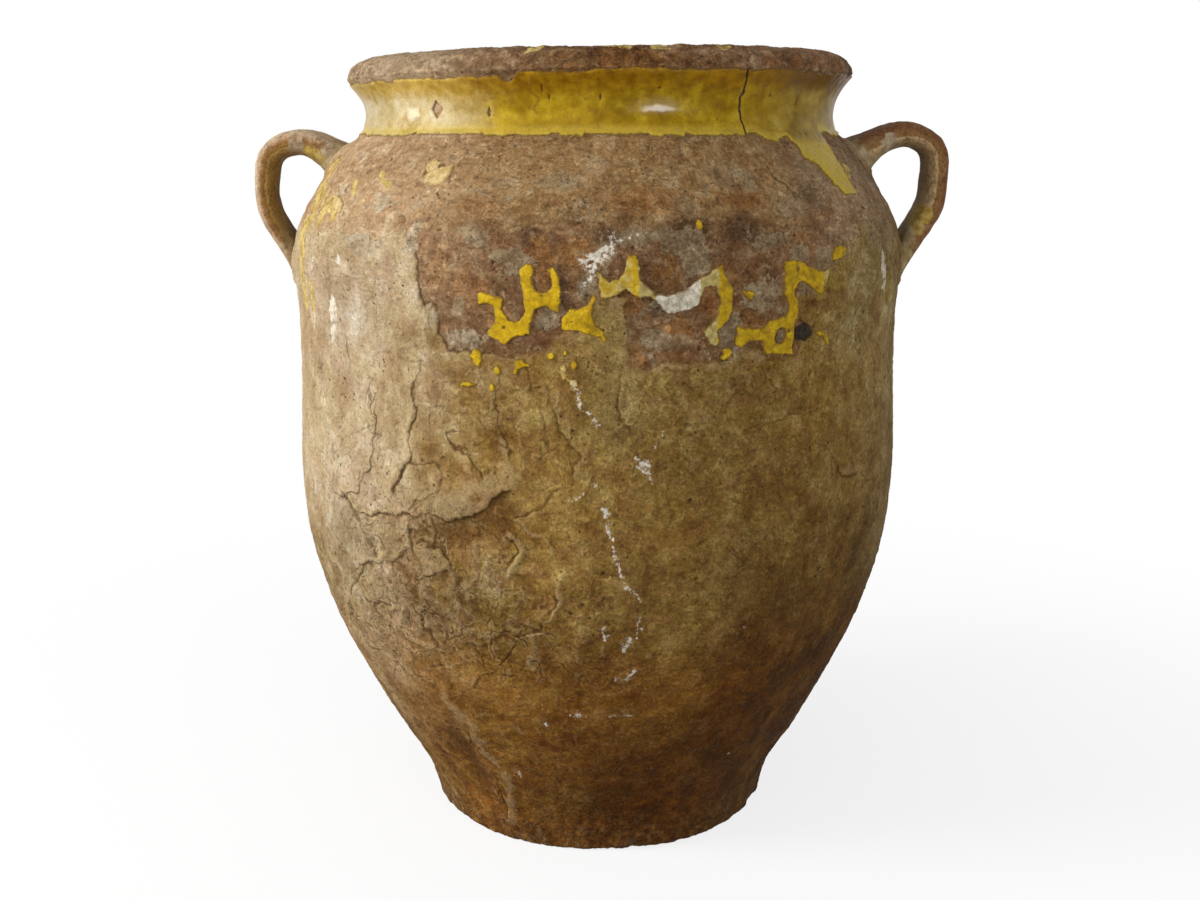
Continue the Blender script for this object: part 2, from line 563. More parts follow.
rustSpots = [
    (-20.3, 256.5, 7, 6), (-18.5, 247.5, 4.5, 5), (10.8, 239.8, 7, 6), (24.5, 249.6, 6, 6.5),
    (41.8, 238.0, 6, 8), (30.1, 229.7, 7, 5), (14.3, 220.3, 3.5, 6), (99.9, 266.6, 14, 7),
    (82.5, 259.2, 12, 5), (-7.9, 256.6, 7, 6), (-47, 242.6, 9, 9), (-60, 250, 7, 9), (58, 229, 7, 5),
    (17, 274.4, 16, 6), (-50, 272, 12, 5), (60, 273, 9, 5), (48, 247, 6, 5), (-36, 233, 6, 5)]
umberSpots = [
    (35.5, 265.7, 12, 5), (55.5, 263.6, 11, 7), (21, 237.9, 5, 4), (95.4, 274, 8, 5), (-24, 262, 5, 4),
    (-12, 240, 4, 9), (68, 248, 4, 4), (3, 262, 8, 4)]
chipSpots = [
    (-120.6, 230, 4.4, 6.0), (-122, 221, 1.6, 4), (-115.1, 249.6, 2.6, 2.4), (-137, 250, 0.9, 5),
    (-132.2, 194.5, 0.8, 6), (-142, 224, 0.9, 4), (140, 247, 2.2, 7), (141.5, 238, 1.4, 4)]
ovalSpots = [
    (-72.2, 260.3, 3.6, 7.8), (-64.3, 231.9, 3.8, 4.8), (-94.8, 272.9, 6.5, 4), (-51, 225, 8, 3.5),
    (-129, 275, 4.5, 3.5), (-98, 257, 12, 5)]

outline = turnedOutline("thrown_pot")
crestIndex = int(np.argmax(outline[:, 1]))


def ringStep(k):
    return wallLook["outerStep"] if k < crestIndex + 5 else wallLook["innerStep"]


rings = smoothOutline(outline, ringStep)
under = flatRings(outline[0], 2, outline[0][0] - 1, 14)
rings = np.concatenate([under, rings, flatRings(outline[-1], outline[-1][0] - 1, 2, 10)])
firstRing = len(under)
crestRing = int(np.argmax(rings[:, 1]))
reach = wallLook["frontReach"]
backCount = round((girth - 2 * reach) / wallLook["backStep"])
back = np.linspace(reach, girth - reach, backCount, endpoint=False)
around = np.sort(np.concatenate([np.arange(-reach, reach - 0.3, wallLook["frontStep"]),
                                 (back + girth / 2) % girth - girth / 2]))


def wallWindow(roundFrom, roundTo, upFrom, upTo):
    # the rows and columns of the wall's outside between these places
    rows = np.where((rings[:, 1] > upFrom) & (rings[:, 1] < upTo) & (outside[:, 0] > 0))[0]
    return np.ix_(rows, np.where((around > roundFrom) & (around < roundTo))[0])


def sideOf(roundHere):
    # like round, but it folds back to 0 behind the pot, for tones that differ from left to right
    return np.interp(roundHere, [-girth / 2, -150, 150, girth / 2], [0, -150, 150, 0])


def turned(rings, around):
    # places and outward directions over a turned surface
    angle = around / bellyRadius
    radius, height, middle, tilt = (rings[:, k][:, None] for k in range(4))
    x = middle + radius * np.sin(angle)
    places = np.stack([x, -radius * np.cos(angle), height + tilt * (x - middle)], -1)
    run = np.gradient(rings[:, :2], axis=0)
    run /= np.linalg.norm(run, axis=1)[:, None]
    facing = np.stack([run[:, 1][:, None] * np.sin(angle), -run[:, 1][:, None] * np.cos(angle),
                       np.repeat(-run[:, 0][:, None], len(around), 1)], -1)
    return places, facing


base, facing = turned(rings, around)
up = np.repeat(rings[:, 1][:, None], len(around), 1)
roundRow = around[None, :]
roundAt = np.repeat(roundRow, len(rings), 0)
outside = np.zeros(len(rings))
outside[firstRing:crestRing + 6] = 1
outside = outside[:, None]
print("wall grid", base.shape)

# ragged places for the edges: where a point seems to be, pushed about by noise
wobble = np.stack([layers(base, 10, 4, 40, 0.6), layers(base, 10, 4, 50, 0.6)], -1)
raggedRound = roundAt + wallLook["raggedBy"] * wobble[..., 0]
raggedUp = up + wallLook["raggedBy"] * wobble[..., 1]


def hump(middleRound, middleUp, wide, high, power=1):
    # 1 at a place, and falling off smoothly round it
    return np.exp(-(((raggedRound - middleRound) / wide) ** 2 + ((raggedUp - middleUp) / high) ** 2) ** power)


def pushed(amount, size, *seeds):
    # the wall's places, pushed about by noise
    return base + amount * np.stack([layers(base, size, 2, seed) for seed in seeds], -1)


coatSoft = np.interp(around, *zip(*coatSoftTable))[None, :]
edgePoints = [p for p in coatEdgeTable if -90 < p[0] < 112]
awayFromEdge, _ = lineDistance(raggedRound, raggedUp, edgePoints)
aboveEdge = raggedUp - np.interp(raggedRound, *zip(*coatEdgeTable))
nearFront = (raggedRound > -88) & (raggedRound < 110)
coatEdge = np.where(nearFront, np.sign(aboveEdge) * awayFromEdge, aboveEdge)
coatEdge = coatEdge + (5 * layers(base, 22, 2, 60)) * coatSoft
bare = ease(coatEdge, -0.5 - 9 * coatSoft, 0.5 + 9 * coatSoft)

# where the crust is lumpy: the lower left of the belly, and less all round the lower part
crust = np.maximum(hump(-72, 128, 46, 36, 1.5), 0.85 * hump(-105, 100, 60, 26))
crust = np.maximum(crust, 0.65 * hump(-30, 108, 40, 26))
allRound = 0.6 + 0.4 * np.cos((raggedRound + 60) / bellyRadius)
crust = np.maximum(crust, 0.35 * ease(raggedUp, 190, 60) * allRound) * outside

glazeTop, glazeFoot = 319.0, 298.0
onNeck = ease(up, glazeFoot - 1, glazeFoot + 1) * ease(up, glazeTop + 2, glazeTop - 1) * outside
onRim = ease(up, glazeTop - 1.5, glazeTop + 1.5) * outside
onFoot = ease(up, 20, 8) * outside

shift = np.full_like(up, -wallLook["sunkBy"])
shift += wallLook["waves"] * lumps(base, 60, 1) + wallLook["swells"] * lumps(base, 24, 2) * (1 - onNeck)
throwing = np.sin(up / wallLook["ringWidth"] + 2.5 * lumps(base, 80, 3))
shift += wallLook["throwingRings"] * throwing * bare * (1 - onNeck)
# the step up on to the coat
shift += wallLook["coatStep"] * (1 - ease(coatEdge, -0.5, 0.5)) * (1 - coatSoft) * outside
grit = layers(base, 4.5, 3, 4, 0.7)
coarse = (wallLook["grit"] + 0.04 * bare + 0.06 * onRim) * (1 - onNeck)
shift += coarse * grit * (1 - 0.4 * ease(roundAt, -60, -100))

# crust: peeled layers with sharp edges, sharp creases and thin ridges between smoother places
warped = pushed(4.0, 16, 70, 75, 80)
terraces = (ease(layers(warped, 19, 2, 5), -0.03, 0.03) - 0.5
            + 0.7 * (ease(layers(warped, 10, 2, 6), -0.03, 0.04) - 0.5))
broken = ease(lumps(base, 9, 115), -0.15, 0.25)
creases = (1 - np.minimum(1, np.abs(layers(warped, 15, 2, 7)) / 0.07)) * broken
ridges = 1 - np.minimum(1, np.abs(layers(warped, 11, 3, 8)) / 0.1)
rumple = layers(warped, 24, 2, 9) + 0.35 * layers(warped, 6, 3, 10)
nubs = layers(warped, 4.6, 2, 110, 0.7) * (0.7 + 0.9 * lumps(base, 13, 116))
shards = (1 - np.minimum(1, np.abs(layers(warped, 6, 2, 113)) / 0.12)) * (1 - broken)
shift += crust * wallLook["crustDepth"] * (0.55 * terraces - 0.35 * creases + 0.4 * ridges + 0.95 * rumple
                                           + 0.5 * nubs - 0.35 * shards)
# the rest of the coat is flaky in the same way, but thin
thin = pushed(2.0, 7, 90, 93, 96)
scales = ease(layers(thin, 9, 3, 97, 0.6), -0.05, 0.06) + 0.6 * ease(layers(thin, 5, 2, 98), -0.04, 0.1)
wrinkles = 1 - np.minimum(1, np.abs(layers(thin, 6.5, 3, 99, 0.6)) / 0.2)
smoothSmear = np.exp(-((raggedRound - 7) / 8) ** 2) * ease(raggedUp, 180, 195) * ease(raggedUp, 245, 236)
smoothSmear = np.maximum(smoothSmear, hump(-112, 176, 15, 16, 2))
calm = (1 - 0.75 * smoothSmear) * (1 - onNeck) * outside
shift += calm * (wallLook["flaking"] + 0.1 * lumps(base, 35, 100)) * (scales - 0.8 - 0.8 * wrinkles ** 2)

# lines on the wall, as how far each place is from the nearest one, and how strong that one is there
cutAt, cutDeep = np.full_like(up, 9.0), np.zeros_like(up)
ledgeAt, ledgeHigh = np.full_like(up, 9.0), np.zeros_like(up)


def lineWindow(points, reach):
    xs, ys = zip(*points)
    window = wallWindow(min(xs) - reach, max(xs) + reach, min(ys) - reach, max(ys) + reach)
    away, side = lineDistance(raggedRound[window], raggedUp[window], points)
    return window, away, side


def noteCut(window, away, side, width, depth):
    nearer = away / width < np.abs(cutAt[window])
    cutAt[window] = np.where(nearer, side * away / width, cutAt[window])
    cutDeep[window] = np.where(nearer, depth, cutDeep[window])


for kind, depth, width, points in marks:
    window, away, side = lineWindow(points, 3 * abs(width) + 4)
    fading = 0.85 + 0.9 * np.clip(lumps(base[window], 11, 44), -0.5, 0.5)
    if kind == "cut":
        shift[window] += 0.5 * fading * depth * (0.5 * np.exp(-((away - 1.3 * width) / width) ** 2)
                                                 - np.exp(-(away / (width * 0.6)) ** 2))
        noteCut(window, away, side, width * 0.7, fading * min(1, depth + 0.3))
    elif kind == "ledge":
        signed = away * side * np.sign(depth)
        lip = np.where(signed > 0, ease(signed, 0, 0.7) * np.exp(-signed / width),
                       -0.5 * np.exp(signed / 1.8))
        shift[window] += fading * abs(depth) * lip
        nearer = away < np.abs(ledgeAt[window])
        ledgeAt[window] = np.where(nearer, signed, ledgeAt[window])
        ledgeHigh[window] = np.where(nearer, fading * min(1, abs(depth) + 0.2), ledgeHigh[window])
    else:
        shift[window] += depth * np.exp(-(away / width) ** 2)

# short scratches, most of them leaning one way
dice = np.random.default_rng(7)
for k in range(wallLook["scratches"]):
    middleRound = dice.uniform(-150, 150) if k % 3 else dice.uniform(-400, 400)
    middleUp = dice.uniform(25, 250)
    length, lean = 2.5 + dice.exponential(4.5), dice.normal(0.35, 0.5)
    if dice.random() < 0.35:
        lean += 1.3
    half = (math.cos(lean) * length / 2, math.sin(lean) * length / 2)
    bow = dice.normal(0, 0.12) * length
    points = [(middleRound - half[0], middleUp - half[1]), (middleRound - half[1] * 0.1, middleUp + bow),
              (middleRound + half[0], middleUp + half[1])]
    window, away, side = lineWindow(points, 2.5)
    if away.size == 0:
        continue
    depth = dice.uniform(0.25, 0.9)
    taper = np.clip(1.1 - np.hypot(raggedRound[window] - middleRound, raggedUp[window] - middleUp)
                    / (0.55 * length), 0, 1)
    taper = taper * (1 - 0.6 * bare[window])
    shift[window] -= wallLook["scratchDepth"] * depth * taper * np.exp(-(away / 0.7) ** 2)
    noteCut(window, away, side, 0.5, depth * taper)
cutDeep = cutDeep * ease(np.abs(cutAt), 3.0, 1.6)
ledgeHigh = ledgeHigh * ease(np.abs(ledgeAt), 4.0, 1.5)

# pits
pitField = spotDistance(thin, 6.5, 3)
pitHere = ease(lumps(base, 26, 12), -0.1, 0.4) * outside * (1 - onNeck)
pits = ease(pitField, 0.15, 0.06) * pitHere
finePits = ease(spotDistance(base, 3.4, 5), 0.22, 0.1) * ease(lumps(base, 18, 13), 0, 0.5)
finePits = finePits * outside * (1 - onNeck)
shift -= wallLook["pits"] * pits + wallLook["finePits"] * finePits

# the rim is worn and chipped, the foot is rough
shift += onRim * (wallLook["rimWear"] * layers(base, 9, 3, 14) + 0.14 * layers(base, 3.6, 2, 117)
                  - wallLook["rimChips"] * ease(lumps(base, 11, 15), 0.3, 0.6))
shift += onFoot * (wallLook["footWear"] * layers(base, 9, 3, 16)
                   - wallLook["footChips"] * ease(layers(base, 13, 2, 17), 0.2, 0.6))
shift *= np.where(outside > 0, 1, 0.3)
shift = np.where(outside > 0, shift, np.minimum(shift, -0.05))

# clay smeared on where the handles join the wall
farOff = 30  # mm
handleNear = np.full(up.shape, farOff + 10.0)
for side, sign in (("left", -1), ("right", 1)):
    tree = nodeTree(side + "_handle")
    window = wallWindow(sign * girth / 4 - 50, sign * girth / 4 + 50, 222, 312)
    near = [tree.find_nearest(Vector(p), farOff)[3] for p in base[window].reshape(-1, 3)]
    near = np.array([farOff if n is None else n for n in near])
    handleNear[window] = near.reshape(base[window].shape[:2])
luted = np.exp(-np.maximum(handleNear - 0.4, 0) / wallLook["lutedReach"])
shift = shift * (1 - 0.5 * luted) + wallLook["lutedHeight"] * luted * (0.85 + 0.25 * lumps(base, 8, 18))

wallPlaces = base + facing * shift[..., None]
lowest, highest = (np.array(corner) * 1000 for corner in cadBox)
wallPlaces = np.clip(wallPlaces, lowest + [0, margin, 0], highest - [0, margin, margin])
onFloor = np.arange(len(rings))[:, None] < firstRing
wallPlaces[..., 2] = np.where(onFloor, 0.4, wallPlaces[..., 2])

hollow = blurred(shift, wallLook["hollowReach"]) - shift
hollow = hollow + 0.6 * (blurred(shift, 3 * wallLook["hollowReach"]) - shift)

scuffEdge = np.full_like(up, -20.0)
for middleRound, middleUp, size in scuffs:
    away = np.hypot(raggedRound + wobble[..., 1] - middleRound, (raggedUp - middleUp) * 0.75)
    scuffEdge = np.maximum(scuffEdge, size - away)
for size, points in strokes:
    window, away, _ = lineWindow(points, 9)
    scuffEdge[window] = np.maximum(scuffEdge[window], size - away)


def spotField(spots):
    # 1 in the middle of a spot, 0 at its edge, negative outside it
    field = np.full_like(up, -9.0)
    for middleRound, middleUp, wide, high in spots:
        away = np.hypot((raggedRound - middleRound) / wide, (raggedUp - middleUp) / high)
        field = np.maximum(field, 1 - away)
    return field


slipEdge, rustEdge, umberEdge = spotField(slipSpots), spotField(rustSpots), spotField(umberSpots)
chipEdge, ovalEdge, washEdge = spotField(chipSpots), spotField(ovalSpots), spotField(washes)
tarEdge = 1.0 - np.hypot((raggedRound * 0.4 + roundAt * 0.6 - 83.3) / 5.6,
                         (raggedUp * 0.4 + up * 0.6 - 225.2) / 3.5)

# pale weathering is strongest on the left, and the lower right is dark with old soot
across = raggedRound + 5 * layers(base, 14, 3, 20)
highUp = ease(up, 220, 238)
leftShare = ease(np.abs(roundRow + 160), 130, 60)
pale = (highUp * ease(across, -50, -76)
        + (1 - highUp) * (0.26 * ease(across, -8, -52) + 0.74 * ease(across, -50, -96)))
pale = pale * np.maximum(leftShare, ease(roundRow, -140, -60) * ease(roundRow, 0, -30))
pale = pale * ease(up, 70, 175)
pale = np.maximum(pale, 0.6 * ease(across, -36, -92) * leftShare * ease(up, 18, 72))
pale = np.maximum(pale, 0.44 * hump(-82, 120, 34, 28))
pale = np.clip(pale + 0.25 * layers(base, 40, 3, 21) * (pale > 0.02), 0, 1)
sooty = ease(up, 100, 22) * (0.15 + 0.85 * ease(roundRow, -66, 35))
sooty = sooty * ease(np.abs(roundRow - 60), 260, 140)
sooty = np.maximum(sooty, 0.95 * ease(up, 205, 85) * ease(roundRow, 15, 70) * ease(roundRow, 260, 180))
sooty = np.clip(sooty + 0.25 * layers(base, 45, 3, 24) * ease(up, 200, 120) * ease(roundRow, -60, 0), 0, 1)
sooty = np.maximum(sooty, 0.7 * hump(-78, 46, 8, 14))

# broad places that are lighter or darker than the rest: (round, up, half width, half height, by how much)
lightPlaces = [
    (-20, 205, 18, 16, 0.12), (-18, 130, 16, 18, 0.4), (-12, 168, 12, 20, 0.22), (30, 150, 16, 18, 0.22),
    (-54, 160, 13, 6, -0.42), (-80, 131, 18, 10, 0.34), (-52, 178, 24, 10, 0.22), (-50, 205, 9, 11, 0.24),
    (135, 326, 24, 8, 0.35), (140, 222, 14, 18, 0.28), (92, 198, 12, 12, 0.2), (110, 100, 16, 12, 0.25),
    (-112, 145, 16, 10, -0.24), (-125, 130, 12, 10, -0.16), (45, 190, 22, 22, -0.12), (30, 222, 10, 8, 0.5),
    (72, 100, 12, 12, 0.5), (45, 100, 14, 14, -0.12), (-100, 60, 30, 14, -0.18), (-70, 60, 20, 14, -0.12),
    (60, 60, 24, 24, -0.12), (60, 284, 24, 12, 0.24), (120, 276, 14, 12, 0.2), (20, 290, 30, 6, 0.12),
    (-100, 292, 40, 10, -0.13), (20, 250, 12, 8, -0.22), (72, 248, 8, 8, 0.24), (-20, 26, 34, 9, -0.22),
    (-95, 14, 26, 9, 0.4), (50, 326, 60, 6, 0.12), (88, 40, 20, 16, -0.1)]
lighter = np.zeros_like(up)
for middleRound, middleUp, wide, high, amount in lightPlaces:
    lighter += amount * hump(middleRound, middleUp, wide, high)
warm = ease(raggedUp, 128, 82) * (1 - 0.6 * ease(roundRow, 50, 110))
warm = warm * (1 - 0.6 * np.maximum(ease(roundRow, -82, -104) * ease(up, 62, 84), ease(roundRow, -104, -130)))
warm = np.maximum(warm, 0.7 * hump(-50, 153, 28, 14))
greyed = np.maximum(ease(roundRow, 86, 132) * ease(raggedUp, 200, 225) * ease(up, 266, 248),
                    0.6 * ease(roundRow, 108, 155) * ease(raggedUp, 95, 135) * ease(up, 266, 248))
greyed = greyed * ease(roundRow, 300, 200)
greyed = np.maximum(greyed, 0.3 * hump(-112, 228, 18, 14))

# thin remains of yellow glaze stain the clay
stainEdge = np.full_like(up, -20.0)
for size, points in stains:
    window, away, _ = lineWindow(points, 12)
    stainEdge[window] = np.maximum(stainEdge[window], size - away)

wallAttributes = dict(
    coatEdge=coatEdge, coatSoft=coatSoft, hollow=hollow, cutAt=cutAt, cutDeep=cutDeep, ledgeAt=ledgeAt,
    ledgeHigh=ledgeHigh, scuffEdge=scuffEdge, tarEdge=tarEdge, pale=pale, sooty=sooty, up=up,
    side=sideOf(roundAt), crust=crust, slipEdge=slipEdge, rustEdge=rustEdge, umberEdge=umberEdge,
    chipEdge=chipEdge, lighter=lighter * outside, warm=warm * outside, greyed=greyed * outside,
    stainEdge=stainEdge, ovalEdge=ovalEdge, washEdge=washEdge, smear=smoothSmear,
    pits=np.maximum(pits, 0.6 * finePits))
print("wall relief done")


def wallFinish():
    s = Shader("weathered_clay")
    height, side, soft = s.attribute("up"), s.attribute("side"), s.attribute("coatSoft")
    hollowness, crust = s.attribute("hollow"), s.attribute("crust")
    cloud = s.grain(38, 4, 1)
    blotch = s.grain(13, 5, 2, rough=0.6)
    mottle = s.grain(4.2, 5, 3, rough=0.65)
    speck = s.grain(1.3, 4, 4, rough=0.65)
    dust = s.grain(0.5, 2, 5)
    streak = s.grain(11, 5, 6, (1, 1, 0.16), rough=0.6)
    drag = s.grain(2.2, 4, 7, (0.5, 0.5, 1.2), rough=0.65)
    ragging = (mottle - 0.5) * 1.4 + (speck - 0.5) * 0.8

    # thin coats lie over each other with crisp edges, crumpled where the crust is
    sheetA, sheetB = s.grain(17, 5, 10, rough=0.6, swirl=0.8), s.grain(7, 5, 11, rough=0.65, swirl=0.7)
    sheetC = s.grain(11, 4, 12, rough=0.55, swirl=1.3)
    peelA, peelB = s.step(sheetA, 0.5, 0.512), s.step(sheetB, 0.53, 0.548)
    peelC = s.step(sheetC, 0.49, 0.505)
    torn = s.step(s.grain(7, 4, 14, rough=0.6), 0.47, 0.53)
    plates, chinks = s.cracks(15, 13), s.cracks(7, 15, (1, 1, 1.3))
    fold = s.step(plates, 0.022, 0.004) * torn
    fold = fold + s.step(chinks, 0.025, 0.005) * s.step(sheetB, 0.57, 0.62) * 0.4
    raised = s.step(s.away(plates + 0.43), 0.045, 0.01) * torn
    folds = fold * s.step(crust, 0.2, 0.7) * s.step(sheetA, 0.42, 0.52)
    hairs = s.step(chinks, 0.02, 0.0) * s.step(s.grain(16, 4, 32, rough=0.6), 0.58, 0.62) * 0.7
    fine = s.step(s.grain(0.9, 3, 30, rough=0.7, swirl=1.6) * 0.6 + speck * 0.4, 0.36, 0.64)
    gritty = s.frayed(side, -100, -30, (blotch, 40))
    gritty = gritty * (s.step(sheetB * 0.5 + cloud * 0.5, 0.42, 0.56) * 0.6 + 0.6)
    aloft = s.step(height, 215, 240)
    upright = s.grain(0.9, 3, 33, (1, 1, 0.14), rough=0.6) * (1 - aloft)
    brushed = upright + s.grain(1.0, 3, 34, (0.2, 0.2, 1.1), rough=0.6) * aloft
    rough = s.step(s.grain(26, 3, 16) + crust * 0.12, 0.44, 0.6)

    # the tan coat: ochre, with browner and creamier clouds
    tone = cloud * 0.3 + blotch * 0.3 + sheetB * 0.15 + mottle * 0.15 + streak * 0.1
    tone = tone + peelA * 0.02 + peelB * 0.018 - peelC * crust * 0.03 + (drag - 0.5) * 0.12
    coat = s.ramp(tone, (0.42, 0.12, 0.057, 0.012), (0.49, 0.205, 0.116, 0.026), (0.54, 0.275, 0.17, 0.045),
                  (0.6, 0.37, 0.255, 0.08))
    umber = s.ramp(tone, (0.42, 0.11, 0.042, 0.011), (0.52, 0.235, 0.12, 0.038), (0.6, 0.35, 0.205, 0.085))
    coat = s.blend(s.step(sheetC, 0.53, 0.56) * 0.5, coat, umber)
    olive = s.ramp(tone, (0.42, 0.16, 0.1, 0.028), (0.6, 0.37, 0.27, 0.1))
    coat = s.blend(s.attribute("smear") * 0.7, coat, olive)
    cream = s.ramp(tone, (0.42, 0.37, 0.25, 0.13), (0.49, 0.43, 0.31, 0.17), (0.54, 0.48, 0.365, 0.21),
                   (0.6, 0.57, 0.46, 0.3))
    pink = s.ramp(tone, (0.43, 0.36, 0.235, 0.145), (0.58, 0.53, 0.39, 0.27))
    cream = s.blend(s.step(sheetA, 0.52, 0.545) * 0.5, cream, pink)
    paleness = s.attribute("pale") + (blotch - 0.5) * 0.7 + (sheetB - 0.5) * 0.5 + peelC * crust * 0.16 - 0.04
    coat = s.blend(s.step(paleness, 0.02, 0.95), coat, cream)
    sootTone = streak * 0.45 + mottle * 0.25 + blotch * 0.3
    sootColour = s.ramp(sootTone, (0.38, 0.02, 0.006, 0.001), (0.46, 0.052, 0.019, 0.003),
                        (0.53, 0.105, 0.044, 0.009), (0.62, 0.185, 0.09, 0.022))
    coat = s.blend(s.frayed("sooty", 0.1, 0.95, (streak, 0.9)) * 0.9, coat, sootColour)

    # bare clay: orange brown high up, dark red brown among the flakes, with grey slip left on it
    clayTone = blotch * 0.28 + sheetB * 0.24 + mottle * 0.16 + drag * 0.16
    clayTone = clayTone + peelB * 0.022 + peelA * 0.02 + 0.062
    clay = s.ramp(clayTone, (0.4, 0.165, 0.082, 0.029), (0.47, 0.245, 0.137, 0.053),
                  (0.53, 0.31, 0.189, 0.079), (0.62, 0.43, 0.3, 0.16))
    deep = s.ramp(clayTone, (0.4, 0.1, 0.043, 0.017), (0.47, 0.165, 0.081, 0.034),
                  (0.53, 0.215, 0.12, 0.058), (0.6, 0.31, 0.205, 0.115))
    rust = s.ramp(clayTone, (0.4, 0.15, 0.055, 0.015), (0.5, 0.25, 0.115, 0.036), (0.6, 0.36, 0.19, 0.075))
    slip = s.ramp(mottle * 0.4 + sheetC * 0.6, (0.4, 0.165, 0.108, 0.056), (0.5, 0.23, 0.162, 0.092),
                  (0.62, 0.32, 0.245, 0.15))
    clay = s.blend(s.frayed(height, 272, 260, (blotch, 30)), clay, deep)
    clay = s.blend(s.frayed("umberEdge", -0.1, 0.6, (mottle, 1.2)) * 0.8, clay, (0.085, 0.043, 0.022))
    clay = s.blend(s.step(s.attribute("rustEdge") + (sheetB - 0.5) * 2.0 + (mottle - 0.5), 0.0, 0.35) * 0.85,
                   clay, rust)
    clay = s.blend(s.frayed(sheetA, 0.6, 0.62, (mottle, 0.3)) * 0.55, clay, slip)
    slipped = s.frayed("slipEdge", 0.1, 0.2, (sheetB, 1.9), (speck, 0.7))
    clay = s.blend(slipped * (0.9 - s.step(height, 262, 270) * 0.45), clay, slip)
    veins = s.step(s.away(s.grain(19, 4, 17, rough=0.6, swirl=1.2)), 0.02, 0.004) * s.step(mottle, 0.44, 0.56)
    clay = s.blend(veins * 0.5, clay, (0.38, 0.27, 0.15))
    leftClay = s.ramp(clayTone, (0.4, 0.3, 0.165, 0.08), (0.5, 0.45, 0.29, 0.155), (0.6, 0.6, 0.44, 0.28))
    clay = s.blend(s.frayed(side, -25, -100, (blotch, 50)) * 0.85, clay, leftClay)
    rightClay = s.ramp(clayTone, (0.4, 0.19, 0.105, 0.055), (0.5, 0.32, 0.205, 0.115),
                       (0.6, 0.46, 0.34, 0.22))
    clay = s.blend(s.frayed(side, 70, 125, (blotch, 50)) * 0.8, clay, rightClay)

    edgeAt = s.attribute("coatEdge") + ragging * 1.3
    width = soft * 8 + 0.2
    colour = s.blend(s.step(edgeAt / width, -1.0, 1.0), coat, clay)
    colour = s.blend(s.step(s.away(edgeAt * 0.6 + 0.2), 0.5, 0.0) * s.step(soft, 0.3, 0.1) * 0.7, colour,
                     (0.05, 0.024, 0.01))

    oval = s.frayed("ovalEdge", 0.05, 0.2, (mottle, 1.6), (speck, 0.8))
    ovalColour = s.ramp(mottle, (0.38, 0.24, 0.175, 0.105), (0.5, 0.38, 0.295, 0.185),
                        (0.62, 0.5, 0.42, 0.3))
    colour = s.blend(oval * 0.75, colour, ovalColour)

    # the rim and the foot
    wear = s.grain(5, 5, 18, (0.6, 0.6, 1.2), rough=0.65)
    rimTone = blotch * 0.3 + mottle * 0.3 + wear * 0.4
    rimColour = s.ramp(rimTone, (0.39, 0.04, 0.014, 0.003), (0.46, 0.09, 0.037, 0.01),
                       (0.53, 0.15, 0.068, 0.021), (0.63, 0.27, 0.165, 0.075))
    rimRight = s.ramp(rimTone, (0.39, 0.085, 0.042, 0.018), (0.5, 0.21, 0.115, 0.056),
                      (0.6, 0.38, 0.26, 0.16))
    rimColour = s.blend(s.frayed(side, 22, 68, (blotch, 60)) * 0.85, rimColour, rimRight)
    rimColour = s.blend(s.step(sheetB, 0.56, 0.58) * 0.5, rimColour, (0.26, 0.1, 0.026))
    rimTan = s.ramp(rimTone, (0.39, 0.13, 0.065, 0.028), (0.5, 0.22, 0.125, 0.062), (0.6, 0.34, 0.225, 0.13))
    rimColour = s.blend(s.frayed(side, 12, -58, (blotch, 60)) * 0.9, rimColour, rimTan)
    rimPale = s.ramp(rimTone, (0.39, 0.22, 0.14, 0.075), (0.5, 0.37, 0.265, 0.16), (0.6, 0.52, 0.41, 0.27))
    rimColour = s.blend(s.frayed(side, -45, -100, (blotch, 60)) * 0.85, rimColour, rimPale)
    colour = s.blend(s.frayed(height, 317, 320, (mottle, 3)), colour, rimColour)
    footColour = s.ramp(mottle * 0.6 + drag * 0.4, (0.37, 0.048, 0.022, 0.007), (0.5, 0.125, 0.065, 0.024),
                        (0.62, 0.26, 0.16, 0.065))
    colour = s.blend(s.frayed(height, 26, 2, (blotch, 24), (streak, 20)) * 0.8, colour, footColour)
    colour = s.blend(s.attribute("warm"), colour, (0.93, 0.68, 0.4), "MULTIPLY")
    colour = s.blend(s.attribute("greyed"), colour, (1.28, 1.5, 2.3), "MULTIPLY")

    stain = s.frayed("stainEdge", -0.2, 0.2, (mottle, 3.5), (speck, 1.5))
    stainColour = s.ramp(mottle, (0.36, 0.36, 0.23, 0.035), (0.6, 0.64, 0.48, 0.17))
    colour = s.blend(stain * 0.9, colour, stainColour)
    wash = s.step(s.attribute("washEdge") + (mottle - 0.5) * 1.8 + (streak - 0.5), 0.1, 0.5)
    colour = s.blend(wash * 0.75, colour, s.ramp(mottle, (0.38, 0.2, 0.115, 0.018), (0.6, 0.34, 0.23, 0.05)))

